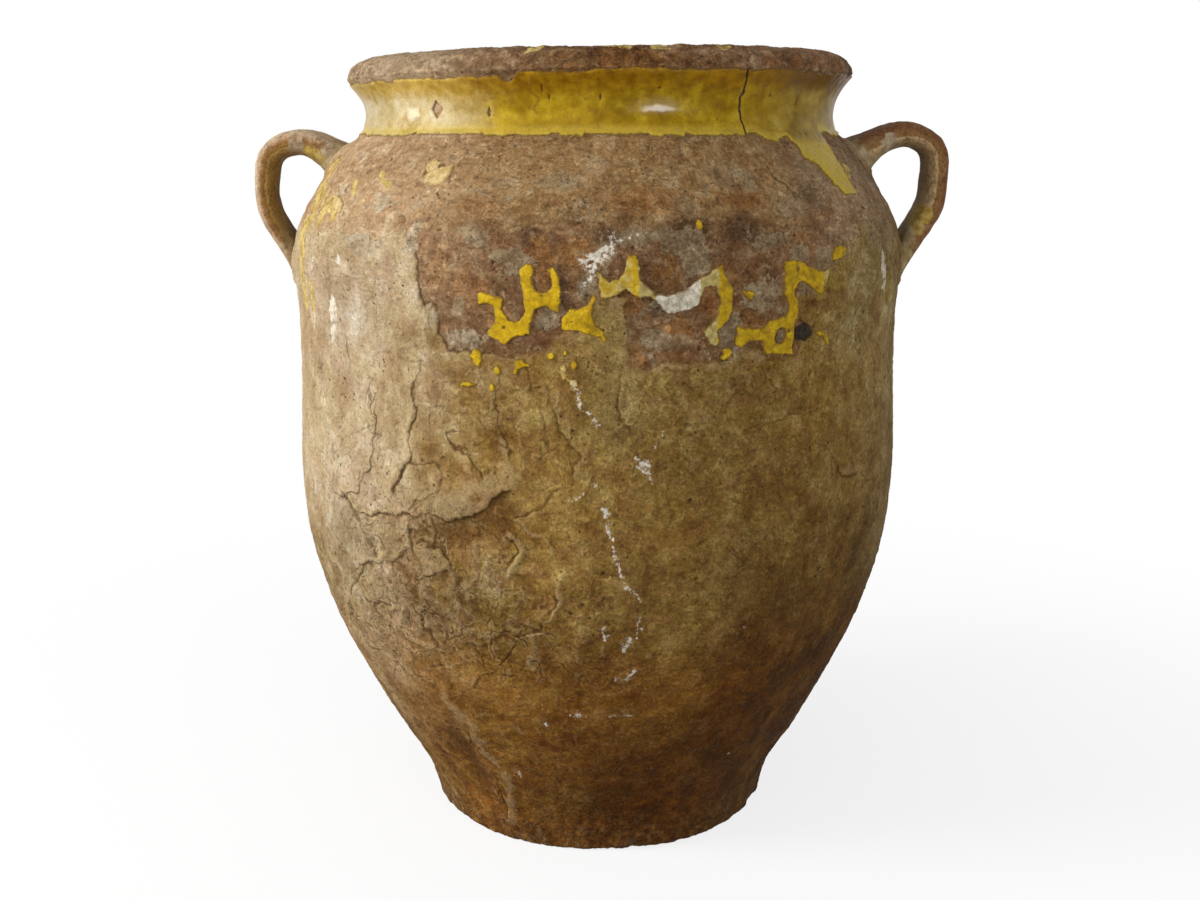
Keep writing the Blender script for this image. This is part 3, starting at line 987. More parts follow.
    # lines: cuts, cracks and the shade under ledges
    cutAway = s.size(s.attribute("cutAt") + (mottle - 0.5) * 1.6)
    cuts = s.frayed(cutAway, 0.7, 0.15, (speck, 1.5)) * s.attribute("cutDeep")
    cuts = cuts * (s.step(sheetB * 0.6 + mottle * 0.4, 0.42, 0.54) * 0.55 + 0.45)
    bright = s.away(s.attribute("cutAt") * 0.4 + (mottle - 0.5) * 0.5)
    bright = s.step(bright, 0.14, 0.02) * s.attribute("cutDeep")
    ledgeAt = s.attribute("ledgeAt") + ragging
    lip = s.step(ledgeAt, -0.2, 0.2) * s.attribute("ledgeHigh")
    underLip = s.step(s.size(ledgeAt + 0.4), 0.65, 0.1) * s.attribute("ledgeHigh")
    lines = s.node("Math", {"operation": "MINIMUM"}, {0: cuts + underLip + folds * 0.4 + hairs * 0.6, 1: 1.0})

    # crisp crumbs and pockets, most of them on the bare clay, the rim and the crust
    crumbs = s.step(s.grain(3.2, 5, 38, (1, 1, 1.4), rough=0.72), 0.54, 0.565)
    pockets = s.step(s.grain(2.4, 5, 39, (1, 1, 1.2), rough=0.72), 0.42, 0.385)
    crumbly = s.step(edgeAt / width, -1.0, 1.0) * (s.step(sheetC, 0.45, 0.56) * 0.22 + 0.1)
    crumbly = crumbly + crust * 0.2 + 0.06
    colour = s.scaled(colour, crumbs * crumbly - pockets * crumbly * 1.1 + 1)

    # fine grain, dirt in the hollows, wear on what stands out
    colour = s.scaled(colour, (fine - 0.5) * (gritty * 0.5 + 0.16) + (brushed - 0.5) * (aloft * 0.25 + 0.45)
                      + s.attribute("lighter") + 1)
    colour = s.blend(s.step(speck, 0.38, 0.28) * rough * 0.6, colour, (0.05, 0.024, 0.008))
    colour = s.blend(s.step(dust * 0.5 + speck * 0.5, 0.57, 0.68) * (0.3 - s.attribute("sooty") * 0.15),
                     colour, (0.6, 0.47, 0.28))
    colour = s.blend(s.frayed(hollowness, 0.1, 0.8, (speck, 0.25)) * (gritty * 0.25 + 0.35), colour,
                     (0.11, 0.05, 0.013))
    colour = s.blend((bright + raised * s.step(crust, 0.15, 0.6)) * (0.4 - s.attribute("sooty") * 0.3),
                     colour, (0.48, 0.34, 0.16))
    colour = s.blend(s.frayed(hollowness, -0.15, -0.8, (speck, 0.2)) * (0.3 - s.attribute("sooty") * 0.22),
                     colour, (0.56, 0.42, 0.22))
    pit = s.step(s.cells(3.1, 19), 0.2, 0.1) * s.step(s.grain(12, 3, 20), 0.5, 0.6)
    pit = s.larger(pit, s.step(s.attribute("pits"), 0.2, 0.8))
    colour = s.blend(pit * 0.7, colour, (0.06, 0.028, 0.009))
    colour = s.blend(lines * 0.6, colour, (0.095, 0.04, 0.01))

    scuff = s.step(s.attribute("scuffEdge") + (s.grain(1.2, 4, 9, rough=0.7) - 0.5) * 7, 0.2, 1.5)
    colour = s.blend(scuff * 0.9, colour, (0.8, 0.74, 0.62))
    chipped = s.frayed("chipEdge", 0.05, 0.25, (mottle, 1.8), (speck, 0.9))
    colour = s.blend(chipped * 0.9, colour, s.ramp(mottle, (0.4, 0.6, 0.5, 0.34), (0.55, 0.78, 0.71, 0.57)))
    tar = s.frayed("tarEdge", -0.1, 0.12, (mottle, 0.5))
    colour = s.blend(tar * 0.95, colour, s.ramp(speck, (0.4, 0.01, 0.008, 0.006), (0.62, 0.05, 0.038, 0.028)))

    roughness = s.step(mottle, 0.3, 0.7) * 0.2 + 0.62
    relief = s.bump((blotch * 0.5 + mottle * 0.35) * (gritty * 0.6 + 0.4), 1.2)
    relief = s.bump(peelA * 0.16 + peelB * 0.14
                    + (peelC * 0.7 + sheetC * 1.2 + raised * 0.4 - fold * 0.35) * crust, 1.0, relief)
    relief = s.bump(lip * 0.6 - lines * 0.3 - pit * 0.4 - chipped * 0.2, 1.0, relief)
    relief = s.bump(speck * (rough * 0.8 + crust * 0.8 + 0.4)
                    + (crumbs * 0.2 - pockets * 0.3) * (crust * 3 + 1), 0.5, relief)
    relief = s.bump(fine * (gritty + 0.4), 0.12, relief)
    return s.finish({"Base Color": colour, "Roughness": roughness - tar * 0.15, "Normal": relief,
                     "Specular IOR Level": 0.06})


potFaces = gridFaces(len(rings), len(around), True)
wall = makeMesh("wall_skin", wallPlaces.reshape(-1, 3), potFaces,
                {k: np.broadcast_to(v, up.shape) for k, v in wallAttributes.items()}, wallFinish())
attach(wall, "root")
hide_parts("thrown_pot")
print("wall made", len(wall.data.polygons))


# sampling the finished wall

outerRows = np.arange(firstRing, crestRing + 1)


def onGrid(grid, roundHere, upHere):
    # value of a wall grid at a place on the outside of the wall
    row = np.interp(upHere, rings[outerRows, 1], outerRows)
    count = len(around)
    places = np.concatenate([[around[-1] - girth], around, [around[0] + girth]])
    column = np.interp((roundHere + girth / 2) % girth - girth / 2, places, np.arange(-1, count + 1))
    r0 = np.clip(np.floor(row).astype(int), 0, len(rings) - 2)
    c0 = np.floor(column).astype(int)
    fr, fc = row - r0, column - c0
    c1 = (c0 + 1) % count
    c0 = c0 % count
    if grid.ndim == 3:
        fr, fc = fr[..., None], fc[..., None]
    return ((grid[r0, c0] * (1 - fc) + grid[r0, c1] * fc) * (1 - fr)
            + (grid[r0 + 1, c0] * (1 - fc) + grid[r0 + 1, c1] * fc) * fr)


def baseAt(roundHere, upHere):
    return onGrid(base, roundHere, upHere)


def insideNode(nodeName, roundHere, upHere):
    # whether each place lies under the node's coat
    tree = nodeTree(nodeName)
    places, out = baseAt(roundHere, upHere), onGrid(facing, roundHere, upHere)
    hits = [tree.ray_cast(Vector(p + 6 * n), Vector(-n), 7)[0] is not None
            for p, n in zip(places.reshape(-1, 3), out.reshape(-1, 3))]
    return np.array(hits).reshape(np.shape(roundHere))


def edgeDistance(inside, step, closed):
    # mm inside the edge of a yes/no picture, negative outside
    edges = []
    down = np.argwhere(inside[1:] != inside[:-1])
    edges += [(a + 0.5, b) for a, b in down]
    across = np.argwhere(inside[:, 1:] != inside[:, :-1])
    edges += [(a, b + 0.5) for a, b in across]
    if closed:
        width = inside.shape[1]
        before = [(a, b - width) for a, b in edges if b > width - 30]
        edges += before + [(a, b + width) for a, b in edges if b < 30]
    tree = KDTree(len(edges))
    for k, (a, b) in enumerate(edges):
        tree.insert((a, b, 0), k)
    tree.balance()
    away = np.array([tree.find((a, b, 0))[2] for a, b in np.ndindex(inside.shape)]).reshape(inside.shape)
    signed = np.where(inside, away, -away) * step
    padded = np.pad(signed, 1, mode="edge")
    if closed:
        padded[1:-1, 0], padded[1:-1, -1] = signed[:, -1], signed[:, 0]
    return (padded[1:-1, 1:-1] * 4 + padded[:-2, 1:-1] + padded[2:, 1:-1] + padded[1:-1, :-2]
            + padded[1:-1, 2:]) / 8


def glazePatch(name, signed, roundGrid, upGrid, closed, step, heightOf, attributes, material):
    # a coat over the places where signed > 0, with its edge drawn on to the line where it is 0
    rows, columns = signed.shape
    gradUp, gradRound = np.gradient(signed, step)
    if closed:
        gradRound = (np.roll(signed, -1, 1) - np.roll(signed, 1, 1)) / (2 * step)
    size = np.maximum(np.hypot(gradUp, gradRound), 0.35)
    pull = np.where(signed < 0, np.clip(-signed / size, 0, 1.6 * step), 0)
    atRound = roundGrid + pull * gradRound / size
    atUp = upGrid + pull * gradUp / size
    depth = np.maximum(signed, 0)
    rise = heightOf(depth, baseAt(atRound, atUp))[..., None]
    places = np.clip(onGrid(wallPlaces, atRound, atUp) + onGrid(facing, atRound, atUp) * rise,
                     lowest + margin, highest - margin)
    faces = gridFaces(rows, columns, closed)
    keep = (signed.ravel()[faces] > 0).any(axis=1)
    faces = faces[keep]
    used, packed = np.unique(faces, return_inverse=True)
    packed = packed.reshape(faces.shape)
    values = {k: np.broadcast_to(v, signed.shape).ravel()[used] for k, v in attributes.items()}
    values["edge"] = depth.ravel()[used]
    return makeMesh(name, places.reshape(-1, 3)[used], packed, values, material)


def glazeHeight(thickness, edgeWidth, seed):
    def height(depth, places):
        rounded = np.sqrt(np.clip(1 - (1 - np.clip(depth / edgeWidth, 0, 1)) ** 2, 0, 1))
        thick = thickness * rounded * (1 + 0.18 * lumps(places, 7, seed))
        return thick - 0.12 + 0.03 * lumps(places, 2.2, seed + 1)
    return height


# the flakes of glaze on the front

flakeLook = dict(step=0.42, thickness=0.95, edgeWidth=0.45, ragged=0.4, dentDepth=0.5)


def flakeFinish():
    s = Shader("flaked_glaze")
    edge = s.attribute("edge")
    cloud, mottle = s.grain(9, 4, 21), s.grain(2.6, 4, 22)
    speck = s.grain(0.8, 3, 23)
    colour = s.ramp(cloud * 0.6 + mottle * 0.4, (0.34, 0.22, 0.125, 0.004), (0.45, 0.4, 0.245, 0.005),
                    (0.55, 0.52, 0.33, 0.007), (0.68, 0.62, 0.43, 0.02))
    worn = s.attribute("worn")
    slip = s.ramp(mottle, (0.35, 0.34, 0.3, 0.215), (0.6, 0.64, 0.585, 0.47))
    olive = s.ramp(mottle, (0.35, 0.26, 0.2, 0.06), (0.62, 0.44, 0.36, 0.13))
    colour = s.blend(s.frayed("side", 20, 70, (cloud, 30)) * 0.6, colour,
                     s.ramp(mottle, (0.36, 0.19, 0.11, 0.003), (0.6, 0.42, 0.27, 0.008)))
    colour = s.blend(s.frayed(worn, 0.2, 0.45, (mottle, 0.5)), colour, olive)
    colour = s.blend(s.frayed(worn, 0.75, 0.9, (mottle, 0.4)), colour, slip)
    colour = s.blend(s.frayed(edge, 0.75, 0.1, (mottle, 1.2)) * 0.75, colour, (0.16, 0.085, 0.02))
    colour = s.blend(s.step(speck, 0.36, 0.27) * 0.7, colour, (0.05, 0.025, 0.008))
    colour = s.blend(s.step(s.grain(1.6, 3, 24), 0.33, 0.28), colour, (0.04, 0.02, 0.008))
    pale = s.ramp(mottle, (0.36, 0.42, 0.28, 0.1), (0.6, 0.6, 0.46, 0.22))
    colour = s.blend(s.attribute("cream"), colour, pale)
    colour = s.blend(s.step(s.attribute("dents"), 0.3, 0.7) * 0.8, colour, (0.07, 0.035, 0.012))
    crazing = s.step(s.cells(3.1, 25, feature="DISTANCE_TO_EDGE"), 0.05, 0.015)
    colour = s.blend(crazing * 0.35, colour, (0.12, 0.07, 0.015))
    relief = s.bump(mottle, 0.25)
    relief = s.bump(speck, 0.12, relief)
    return s.finish({"Base Color": colour, "Roughness": s.step(mottle, 0.3, 0.7) * 0.25 + 0.38 + worn * 0.2,
                     "Normal": relief, "Specular IOR Level": 0.1})


flakeMaterial = flakeFinish()
for nodeName in sorted(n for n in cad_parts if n.startswith("flake_")):
    places = meshPlaces(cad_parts[nodeName].data)
    roundOf = np.arctan2(places[:, 0], -places[:, 1]) * bellyRadius
    step = flakeLook["step"]
    roundAxis = np.arange(roundOf.min() - 3, roundOf.max() + 3, step)
    upAxis = np.arange(places[:, 2].min() - 3, places[:, 2].max() + 3, step)
    upGrid, roundGrid = np.meshgrid(upAxis, roundAxis, indexing="ij")
    signed = edgeDistance(insideNode(nodeName, roundGrid, upGrid), step, False)
    where = baseAt(roundGrid, upGrid)
    signed = signed + flakeLook["ragged"] * layers(where, 3.4, 3, 31) + 0.25 * lumps(where, 1.1, 33)
    worn = np.zeros_like(signed)
    if nodeName == "flake_chain_middle":
        worn = np.maximum(ease(roundGrid, 18.5, 22) * ease(roundGrid, 40, 36.5),
                          0.5 * ease(roundGrid, 13, 16) * ease(roundGrid, 47, 43))
        worn = np.maximum(worn, 0.325 * ease(roundGrid, 17, 11))
    dents = np.zeros_like(signed)
    if nodeName == "flake_hook_right":
        hole = np.hypot((roundGrid - 72.1) / 1.0, (upGrid - 224.8) / 1.25) - 2.3 + 0.5 * lumps(where, 2.5, 35)
        signed = np.minimum(signed, hole)
        dents = np.exp(-((roundGrid - 78.8) / 0.9) ** 2 - ((upGrid - 248.9) / 1.3) ** 2)
        dents = np.maximum(dents, np.exp(-((roundGrid - 75.6) ** 2 + (upGrid - 226.2) ** 2) / 0.8))
        worn = 0.42 * ease(roundGrid, 88, 94)
    if nodeName == "flake_tall_left":
        dents = np.exp(-((roundGrid + 34) ** 2 + (upGrid - 229.5) ** 2) / 0.7)
    if nodeName == "flake_shoulder_left":
        for middleRound, middleUp, size in ((-72.5, 285, 2.6), (-76, 286.2, 2.6), (-80.5, 283.4, 1.7)):
            signed = np.maximum(signed, size - np.hypot((roundGrid - middleRound) / 1.1, upGrid - middleUp))
        dents = np.exp(-((roundGrid + 71.4) / 1.5) ** 2 - ((upGrid - 286) / 1.1) ** 2)
    cream = 1.0 if nodeName in ("flake_shoulder_left", "flake_drip_left") else 0.0
    height = glazeHeight(flakeLook["thickness"], flakeLook["edgeWidth"], 34)
    flake = glazePatch(nodeName + "_glaze", signed, roundGrid, upGrid, False, step,
                       lambda depth, places: height(depth, places) - flakeLook["dentDepth"] * dents,
                       dict(worn=worn, dents=dents, cream=cream, side=roundGrid), flakeMaterial)
    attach(flake, "root")
    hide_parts(nodeName)

# specks of the same glaze between the islands: (round, up, half width, half height)
specks = [(-36.8, 213.7, 1.4, 1.9), (-16.8, 219.4, 1.4, 1.4), (-11.4, 221, 0.9, 1.0), (-8.5, 216.5, 1.2, 2.2),
          (38.4, 265.6, 1.2, 2.2), (47.5, 217.8, 1.3, 1.0), (-38.8, 207.5, 1.0, 2.0)]
speckLook = dict(step=0.35, thickness=0.7, edgeWidth=0.4, ragged=0.45)
step = speckLook["step"]
upGrid, roundGrid = np.meshgrid(np.arange(202, 268, step), np.arange(-44, 54, step), indexing="ij")
where = baseAt(roundGrid, upGrid)
signed = np.full_like(upGrid, -9.0)
for middleRound, middleUp, wide, high in specks:
    away = np.hypot((roundGrid - middleRound) / wide, (upGrid - middleUp) / high)
    signed = np.maximum(signed, (1 - away) * min(wide, high))
signed = signed + speckLook["ragged"] * layers(where, 2.2, 2, 36)
bits = glazePatch("glaze_specks", signed, roundGrid, upGrid, False, step,
                  glazeHeight(speckLook["thickness"], speckLook["edgeWidth"], 37),
                  dict(worn=0.0, dents=0.0, cream=0.0, side=roundGrid), flakeMaterial)
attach(bits, "root")
print("flakes made")


# the glaze round the neck

neckLook = dict(step=0.56, thickness=0.85, edgeWidth=0.6, ragged=0.35, top=319.6, climb=1.5,
                crackDepth=0.75, dentDepth=0.5)

neckChips = [(-87.5, 307, 3.8, 3.3), (-55.5, 305.5, 0.8, 1.8)]
neckDents = [(0.5, 311, 0.7, 1.4), (114, 309.5, 0.5, 2.4), (91.5, 311.7, 0.8, 0.8), (28.5, 314, 0.8, 0.7),
             (-24, 311, 0.5, 1.2), (-27, 314.5, 0.5, 1.8), (60, 303, 0.6, 0.5)]
glossySpots = [(-106, 307.5, 9, 8), (28, 307.8, 16, 4.5), (33, 309.5, 6, 2.5)]
neckBrush = [(-31, 318), (-33, 313), (-29, 310.5), (-32, 307), (-30, 305)]
neckCracks = [[(70, 322), (71.5, 318.5), (74, 312.5), (72.5, 311), (73.5, 306), (75.5, 300), (75, 297)]]


def neckFinish():
    s = Shader("neck_glaze_yellow")
    below, above, edge = s.attribute("fromTop"), s.attribute("fromFoot"), s.attribute("edge")
    side = s.attribute("side")
    cloud = s.grain(17, 4, 41, (1, 1, 1.6))
    mottle, speck = s.grain(4, 4, 42), s.grain(1.0, 3, 43)
    runs = s.grain(9, 4, 44, (1, 1, 0.35))
    tone = cloud * 0.5 + runs * 0.15 + mottle * 0.35
    yellow = s.ramp(tone, (0.38, 0.19, 0.105, 0.001), (0.47, 0.26, 0.155, 0.002),
                    (0.54, 0.34, 0.215, 0.006), (0.64, 0.44, 0.3, 0.014))
    cream = s.ramp(tone, (0.39, 0.4, 0.28, 0.085), (0.51, 0.54, 0.43, 0.22), (0.62, 0.62, 0.54, 0.38))
    olive = s.ramp(tone, (0.38, 0.15, 0.085, 0.003), (0.5, 0.27, 0.17, 0.012), (0.62, 0.38, 0.27, 0.055))
    leftness = s.frayed(side, -42, -98, (cloud, 60))
    rightness = s.frayed(side, 60, 120, (cloud, 60))
    colour = s.blend(leftness, s.blend(rightness, yellow, olive), cream)
    band = s.frayed(below, 10.5, 3, (mottle, 4), (runs, 6))
    bandColour = s.blend(leftness, s.ramp(mottle, (0.35, 0.17, 0.075, 0.002), (0.6, 0.29, 0.145, 0.003)),
                         s.ramp(mottle, (0.35, 0.4, 0.235, 0.02), (0.6, 0.56, 0.37, 0.05)))
    bandColour = s.blend(rightness, bandColour, (0.12, 0.05, 0.001))
    colour = s.blend(band * (rightness * 0.1 + 0.85), colour, bandColour)
    colour = s.scaled(colour, 1 - s.step(side, -108, -138) * 0.2)
    bead = s.frayed(above, 4.5, 0.8, (mottle, 2.5))
    colour = s.blend(bead * 0.65, colour, s.blend(rightness, (0.5, 0.36, 0.05), (0.56, 0.4, 0.04)))
    stain = s.step(s.grain(7, 5, 45, swirl=1.5), 0.42, 0.3)
    colour = s.blend(stain * 0.35, colour, (0.15, 0.075, 0.02))
    colour = s.blend(s.frayed("crack", 0.75, 0.3, (speck, 0.5)), colour, (0.02, 0.01, 0.005))
    colour = s.blend(s.frayed("dents", 0.35, 0.6, (speck, 0.4)) * 0.85, colour, (0.06, 0.025, 0.008))
    brush = s.frayed("brush", 0.5, 0.9, (mottle, 0.5))
    colour = s.blend(brush * 0.5, colour, (0.16, 0.07, 0.01))
    colour = s.blend(s.frayed(edge, 0.6, 0.1, (mottle, 0.8)) * 0.8, colour, (0.09, 0.045, 0.015))
    colour = s.blend(s.step(speck, 0.34, 0.27) * 0.6, colour, (0.08, 0.04, 0.012))
    crazing = s.step(s.cells(3.6, 46, feature="DISTANCE_TO_EDGE"), 0.035, 0.01)
    colour = s.blend(crazing * 0.3, colour, (0.16, 0.09, 0.02))
    colour = s.scaled(colour,
                      (s.step(s.grain(0.7, 3, 47, (1, 1, 0.7), rough=0.7), 0.36, 0.64) - 0.5) * 0.14 + 1)
    relief = s.bump(runs, 0.2)
    relief = s.bump(mottle, 0.2, relief)
    relief = s.bump(speck, 0.08, relief)
    gloss = s.frayed("gloss", 0.0, 0.6, (mottle, 0.6), (speck, 0.5)) * 0.6
    return s.finish({"Base Color": colour, "Roughness": s.step(mottle, 0.35, 0.7) * 0.2 + 0.3,
                     "Coat Weight": gloss, "Coat Roughness": 0.17, "Normal": relief,
                     "Specular IOR Level": 0.09})


neckPlaces = meshPlaces(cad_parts["neck_glaze"].data)
step = neckLook["step"]
count = round(girth / step)
roundAxis = (np.arange(count) + 0.5) / count * girth - girth / 2
upAxis = np.arange(neckPlaces[:, 2].min() - 3, neckPlaces[:, 2].max() + 3, step)
upGrid, roundGrid = np.meshgrid(upAxis, roundAxis, indexing="ij")
# from the left of the front round to the right it reaches higher under the rim
climb = neckLook["climb"] * ease(roundGrid, -41, -36) * ease(roundGrid, 240, 200)
lifted = upGrid - climb * ease(upGrid, 308, 317)
signed = edgeDistance(insideNode("neck_glaze", roundGrid, lifted), step, True)
where = baseAt(roundGrid, upGrid)
inColumn = signed > 0
topAt = np.where(inColumn, upGrid, 0).max(axis=0)
footAt = np.where(inColumn & (upGrid > 292), upGrid, 999).min(axis=0)
signed = signed + neckLook["ragged"] * layers(where, 5, 3, 51) + 0.35 * lumps(where, 1.8, 53)
tornTop = 1.1 * layers(where, 9, 4, 57, 0.6) - 0.5 - 2.4 * np.exp(-((roundGrid + 43) / 4) ** 2)
signed = np.minimum(signed, neckLook["top"] + climb + tornTop - upGrid)
for middleRound, middleUp, wide, high in neckChips:
    away = np.abs(roundGrid - middleRound) / wide + np.abs(upGrid - middleUp) / high
    signed = np.minimum(signed, (away - 1) * min(wide, high) + 0.35 * layers(where, 2.5, 2, 54))
dents = np.zeros_like(signed)
for middleRound, middleUp, wide, high in neckDents:
    dents = np.maximum(dents,
                       np.exp(-((roundGrid - middleRound) / wide) ** 2 - ((upGrid - middleUp) / high) ** 2))
gloss = np.full_like(signed, -9.0)
for middleRound, middleUp, wide, high in glossySpots:
    gloss = np.maximum(gloss, 1 - np.hypot((roundGrid - middleRound) / wide, (upGrid - middleUp) / high))
drawn, _ = lineDistance(roundGrid + 0.8 * layers(where, 6, 2, 58), upGrid, neckBrush)
crack = np.full_like(signed, 20.0)
for points in neckCracks:
    away, _ = lineDistance(roundGrid + 0.7 * layers(where, 5, 2, 55), upGrid, points)
    crack = np.minimum(crack, away)
plain = glazeHeight(neckLook["thickness"], neckLook["edgeWidth"], 56)
sunk = neckLook["crackDepth"] * np.exp(-(crack / 0.6) ** 2) + neckLook["dentDepth"] * dents
neck = glazePatch("neck_glaze_band", signed, roundGrid, upGrid, True, step,
                  lambda depth, places: plain(depth, places) - sunk,
                  dict(fromTop=topAt[None, :] - upGrid, fromFoot=upGrid - footAt[None, :],
                       side=sideOf(roundGrid),
                       crack=crack, dents=dents, gloss=gloss, brush=np.exp(-(drawn / 0.9) ** 2)),
                  neckFinish())
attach(neck, "root")
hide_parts("neck_glaze")
print("neck glaze made", len(neck.data.polygons))


# handles

handleLook = dict(voxel=0.85, smoothing=14, roughDepth=0.35, pits=0.7, seatRise=0.9, middle=(131.0, 277.0))


def handleFinish():
    s = Shader("handle_clay_worn")
    facingOut, hollowness = s.attribute("facingOut"), s.attribute("hollow")
    glazed, slipped, side = s.attribute("glazed"), s.attribute("slipped"), s.attribute("side")
    blotch, mottle = s.grain(9, 4, 61), s.grain(3.2, 4, 62)
    speck, dust = s.grain(1.1, 3, 63), s.grain(0.45, 2, 64)
    tone = blotch * 0.5 + mottle * 0.5
    turn = facingOut + (mottle - 0.5) * 0.5 + (blotch - 0.5) * 0.4
    turn = s.node("MapRange", {}, {"Value": turn, "From Min": -1.0, "From Max": 1.0})
    leftBands = s.ramp(turn, (0.06, 0.32, 0.2, 0.06), (0.2, 0.36, 0.235, 0.075), (0.255, 0.47, 0.32, 0.09),
                       (0.3, 0.27, 0.14, 0.035), (0.55, 0.25, 0.125, 0.045), (0.72, 0.38, 0.25, 0.145),
                       (1.0, 0.5, 0.38, 0.25))
    rightBands = s.ramp(turn, (0.08, 0.3, 0.2, 0.1), (0.26, 0.37, 0.245, 0.12), (0.33, 0.47, 0.34, 0.18),
                        (0.4, 0.23, 0.12, 0.038), (0.62, 0.2, 0.098, 0.035), (0.82, 0.175, 0.072, 0.028),
                        (1.0, 0.19, 0.09, 0.04))
    colour = s.blend(s.step(side, -20, 20), leftBands, rightBands)
    colour = s.blend(s.step(tone, 0.5, 0.36) * 0.45, colour, (0.1, 0.045, 0.014))
    light = s.step(tone, 0.52, 0.66) * 0.35
    colour = s.blend(light, colour, s.blend(s.step(side, -20, 20), (0.55, 0.42, 0.27), (0.36, 0.24, 0.13)))
    fine = s.step(s.grain(1.0, 3, 68, rough=0.7) * 0.6 + speck * 0.4, 0.36, 0.64)
    colour = s.scaled(colour, (fine - 0.5) * 0.36 + 1)
    yellow = s.ramp(mottle, (0.35, 0.22, 0.13, 0.015), (0.6, 0.42, 0.3, 0.07))
    colour = s.blend(s.frayed(glazed, 0.4, 0.48, (mottle, 1.1), (speck, 0.6)) * 0.9, colour, yellow)
    slip = s.ramp(mottle, (0.35, 0.22, 0.15, 0.09), (0.6, 0.42, 0.33, 0.23))
    colour = s.blend(s.frayed(slipped, 0.35, 0.55, (mottle, 0.9), (speck, 0.5)) * 0.85, colour, slip)
    colour = s.blend(s.step(speck, 0.42, 0.3) * 0.55, colour, (0.05, 0.025, 0.012))
    colour = s.blend(s.step(dust * 0.6 + speck * 0.4, 0.56, 0.7) * 0.3, colour, (0.5, 0.4, 0.26))
    colour = s.blend(s.step(hollowness, 0.08, 0.5) * 0.5, colour, (0.06, 0.03, 0.012))
    colour = s.blend(s.step(hollowness, -0.08, -0.4) * 0.35, colour, (0.6, 0.47, 0.3))
    root = s.ramp(mottle * 0.6 + blotch * 0.4, (0.38, 0.17, 0.115, 0.048), (0.5, 0.26, 0.19, 0.095),
                  (0.62, 0.4, 0.31, 0.18))
    colour = s.blend(s.frayed("seat", 0.18, 0.6, (mottle, 0.7)) * 0.8, colour, root)
    relief = s.bump(mottle, 0.45)
    relief = s.bump(speck, 0.25, relief)
    relief = s.bump(dust, 0.1, relief)
    return s.finish({"Base Color": colour, "Roughness": s.step(mottle, 0.3, 0.7) * 0.2 + 0.6 - glazed * 0.15,
                     "Normal": relief, "Specular IOR Level": 0.06})


# patches on the handles: (x, up, size) seen from the front
glazedSpots = {"left": [(-123, 288, 5), (-118, 283, 6), (-113, 288, 4), (-128, 252, 3), (-129, 246, 3)],
               "right": [(140, 264, 4.5), (137, 259, 4), (131, 248, 5), (127, 240, 6), (117, 284, 4.5)]}
slippedSpots = {"left": [(-134, 240, 3), (-112, 291, 5), (-128, 293, 4)],
                "right": [(124, 294.5, 4), (133, 255, 4), (128, 247, 3), (113, 287, 4)]}

handleMaterial = handleFinish()
for side, sign in (("left", -1), ("right", 1)):
    form = addObject(side + "_handle_form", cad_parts[side + "_handle"].data.copy())
    weld = form.modifiers.new("weld", "WELD")
    weld.merge_threshold = 0.00001
    remesh = form.modifiers.new("even", "REMESH")
    remesh.mode = "VOXEL"
    remesh.voxel_size = handleLook["voxel"] / 1000
    soften = form.modifiers.new("soften", "SMOOTH")
    soften.factor = 0.5
    soften.iterations = handleLook["smoothing"]
    formed = bpy.data.meshes.new_from_object(form.evaluated_get(bpy.context.evaluated_depsgraph_get()))
    bpy.data.objects.remove(form)
    places, normals = meshPlaces(formed), vertexValues(formed, "normal")
    # how near the wall each point is, and the way off the wall there
    roundOf = np.arctan2(places[:, 0], -places[:, 1]) * bellyRadius
    wallAt = onGrid(base, roundOf, places[:, 2])
    offWall = np.hypot(places[:, 0], places[:, 1]) - np.hypot(wallAt[:, 0], wallAt[:, 1])
    seat = np.exp(-np.maximum(offWall, 0) / 3.0)
    middle = handleLook["middle"]
    spoke = places - np.array([sign * middle[0], 0, middle[1]])
    spoke[:, 1] = 0
    spoke /= np.linalg.norm(spoke, axis=1)[:, None]
    facingOut = (normals * spoke).sum(axis=1)
    lump = handleLook["roughDepth"] * (0.7 * lumps(places, 14, 65) + 0.5 * layers(places, 5, 3, 66))
    pitted = ease(spotDistance(places, 7, 6), 0.22, 0.08) * ease(lumps(places, 20, 67), 0, 0.4)
    lump -= handleLook["pits"] * pitted
    moved = places + normals * (lump + handleLook["seatRise"] * seat)[:, None]
    values = dict(facingOut=facingOut, hollow=-lump, side=places[:, 0],
                  seat=np.exp(-np.maximum(offWall, 0) / 7.0))
    for key, table in (("glazed", glazedSpots), ("slipped", slippedSpots)):
        value = np.zeros(len(places))
        for x, height, size in table[side]:
            away = np.hypot(places[:, 0] - x, places[:, 2] - height)
            value = np.maximum(value, np.exp(-(away / size) ** 2))
        values[key] = value
    moved = np.clip(moved, lowest + margin, highest - margin)
    formed.vertices.foreach_set("co", (moved / 1000).astype(np.float32).ravel())
    dress(formed, values, handleMaterial)
    handle = addObject(side + "_handle_pulled", formed)
    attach(handle, "root")
    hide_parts(side + "_handle")
    print(side, "handle made", len(formed.polygons))


# the glaze inside

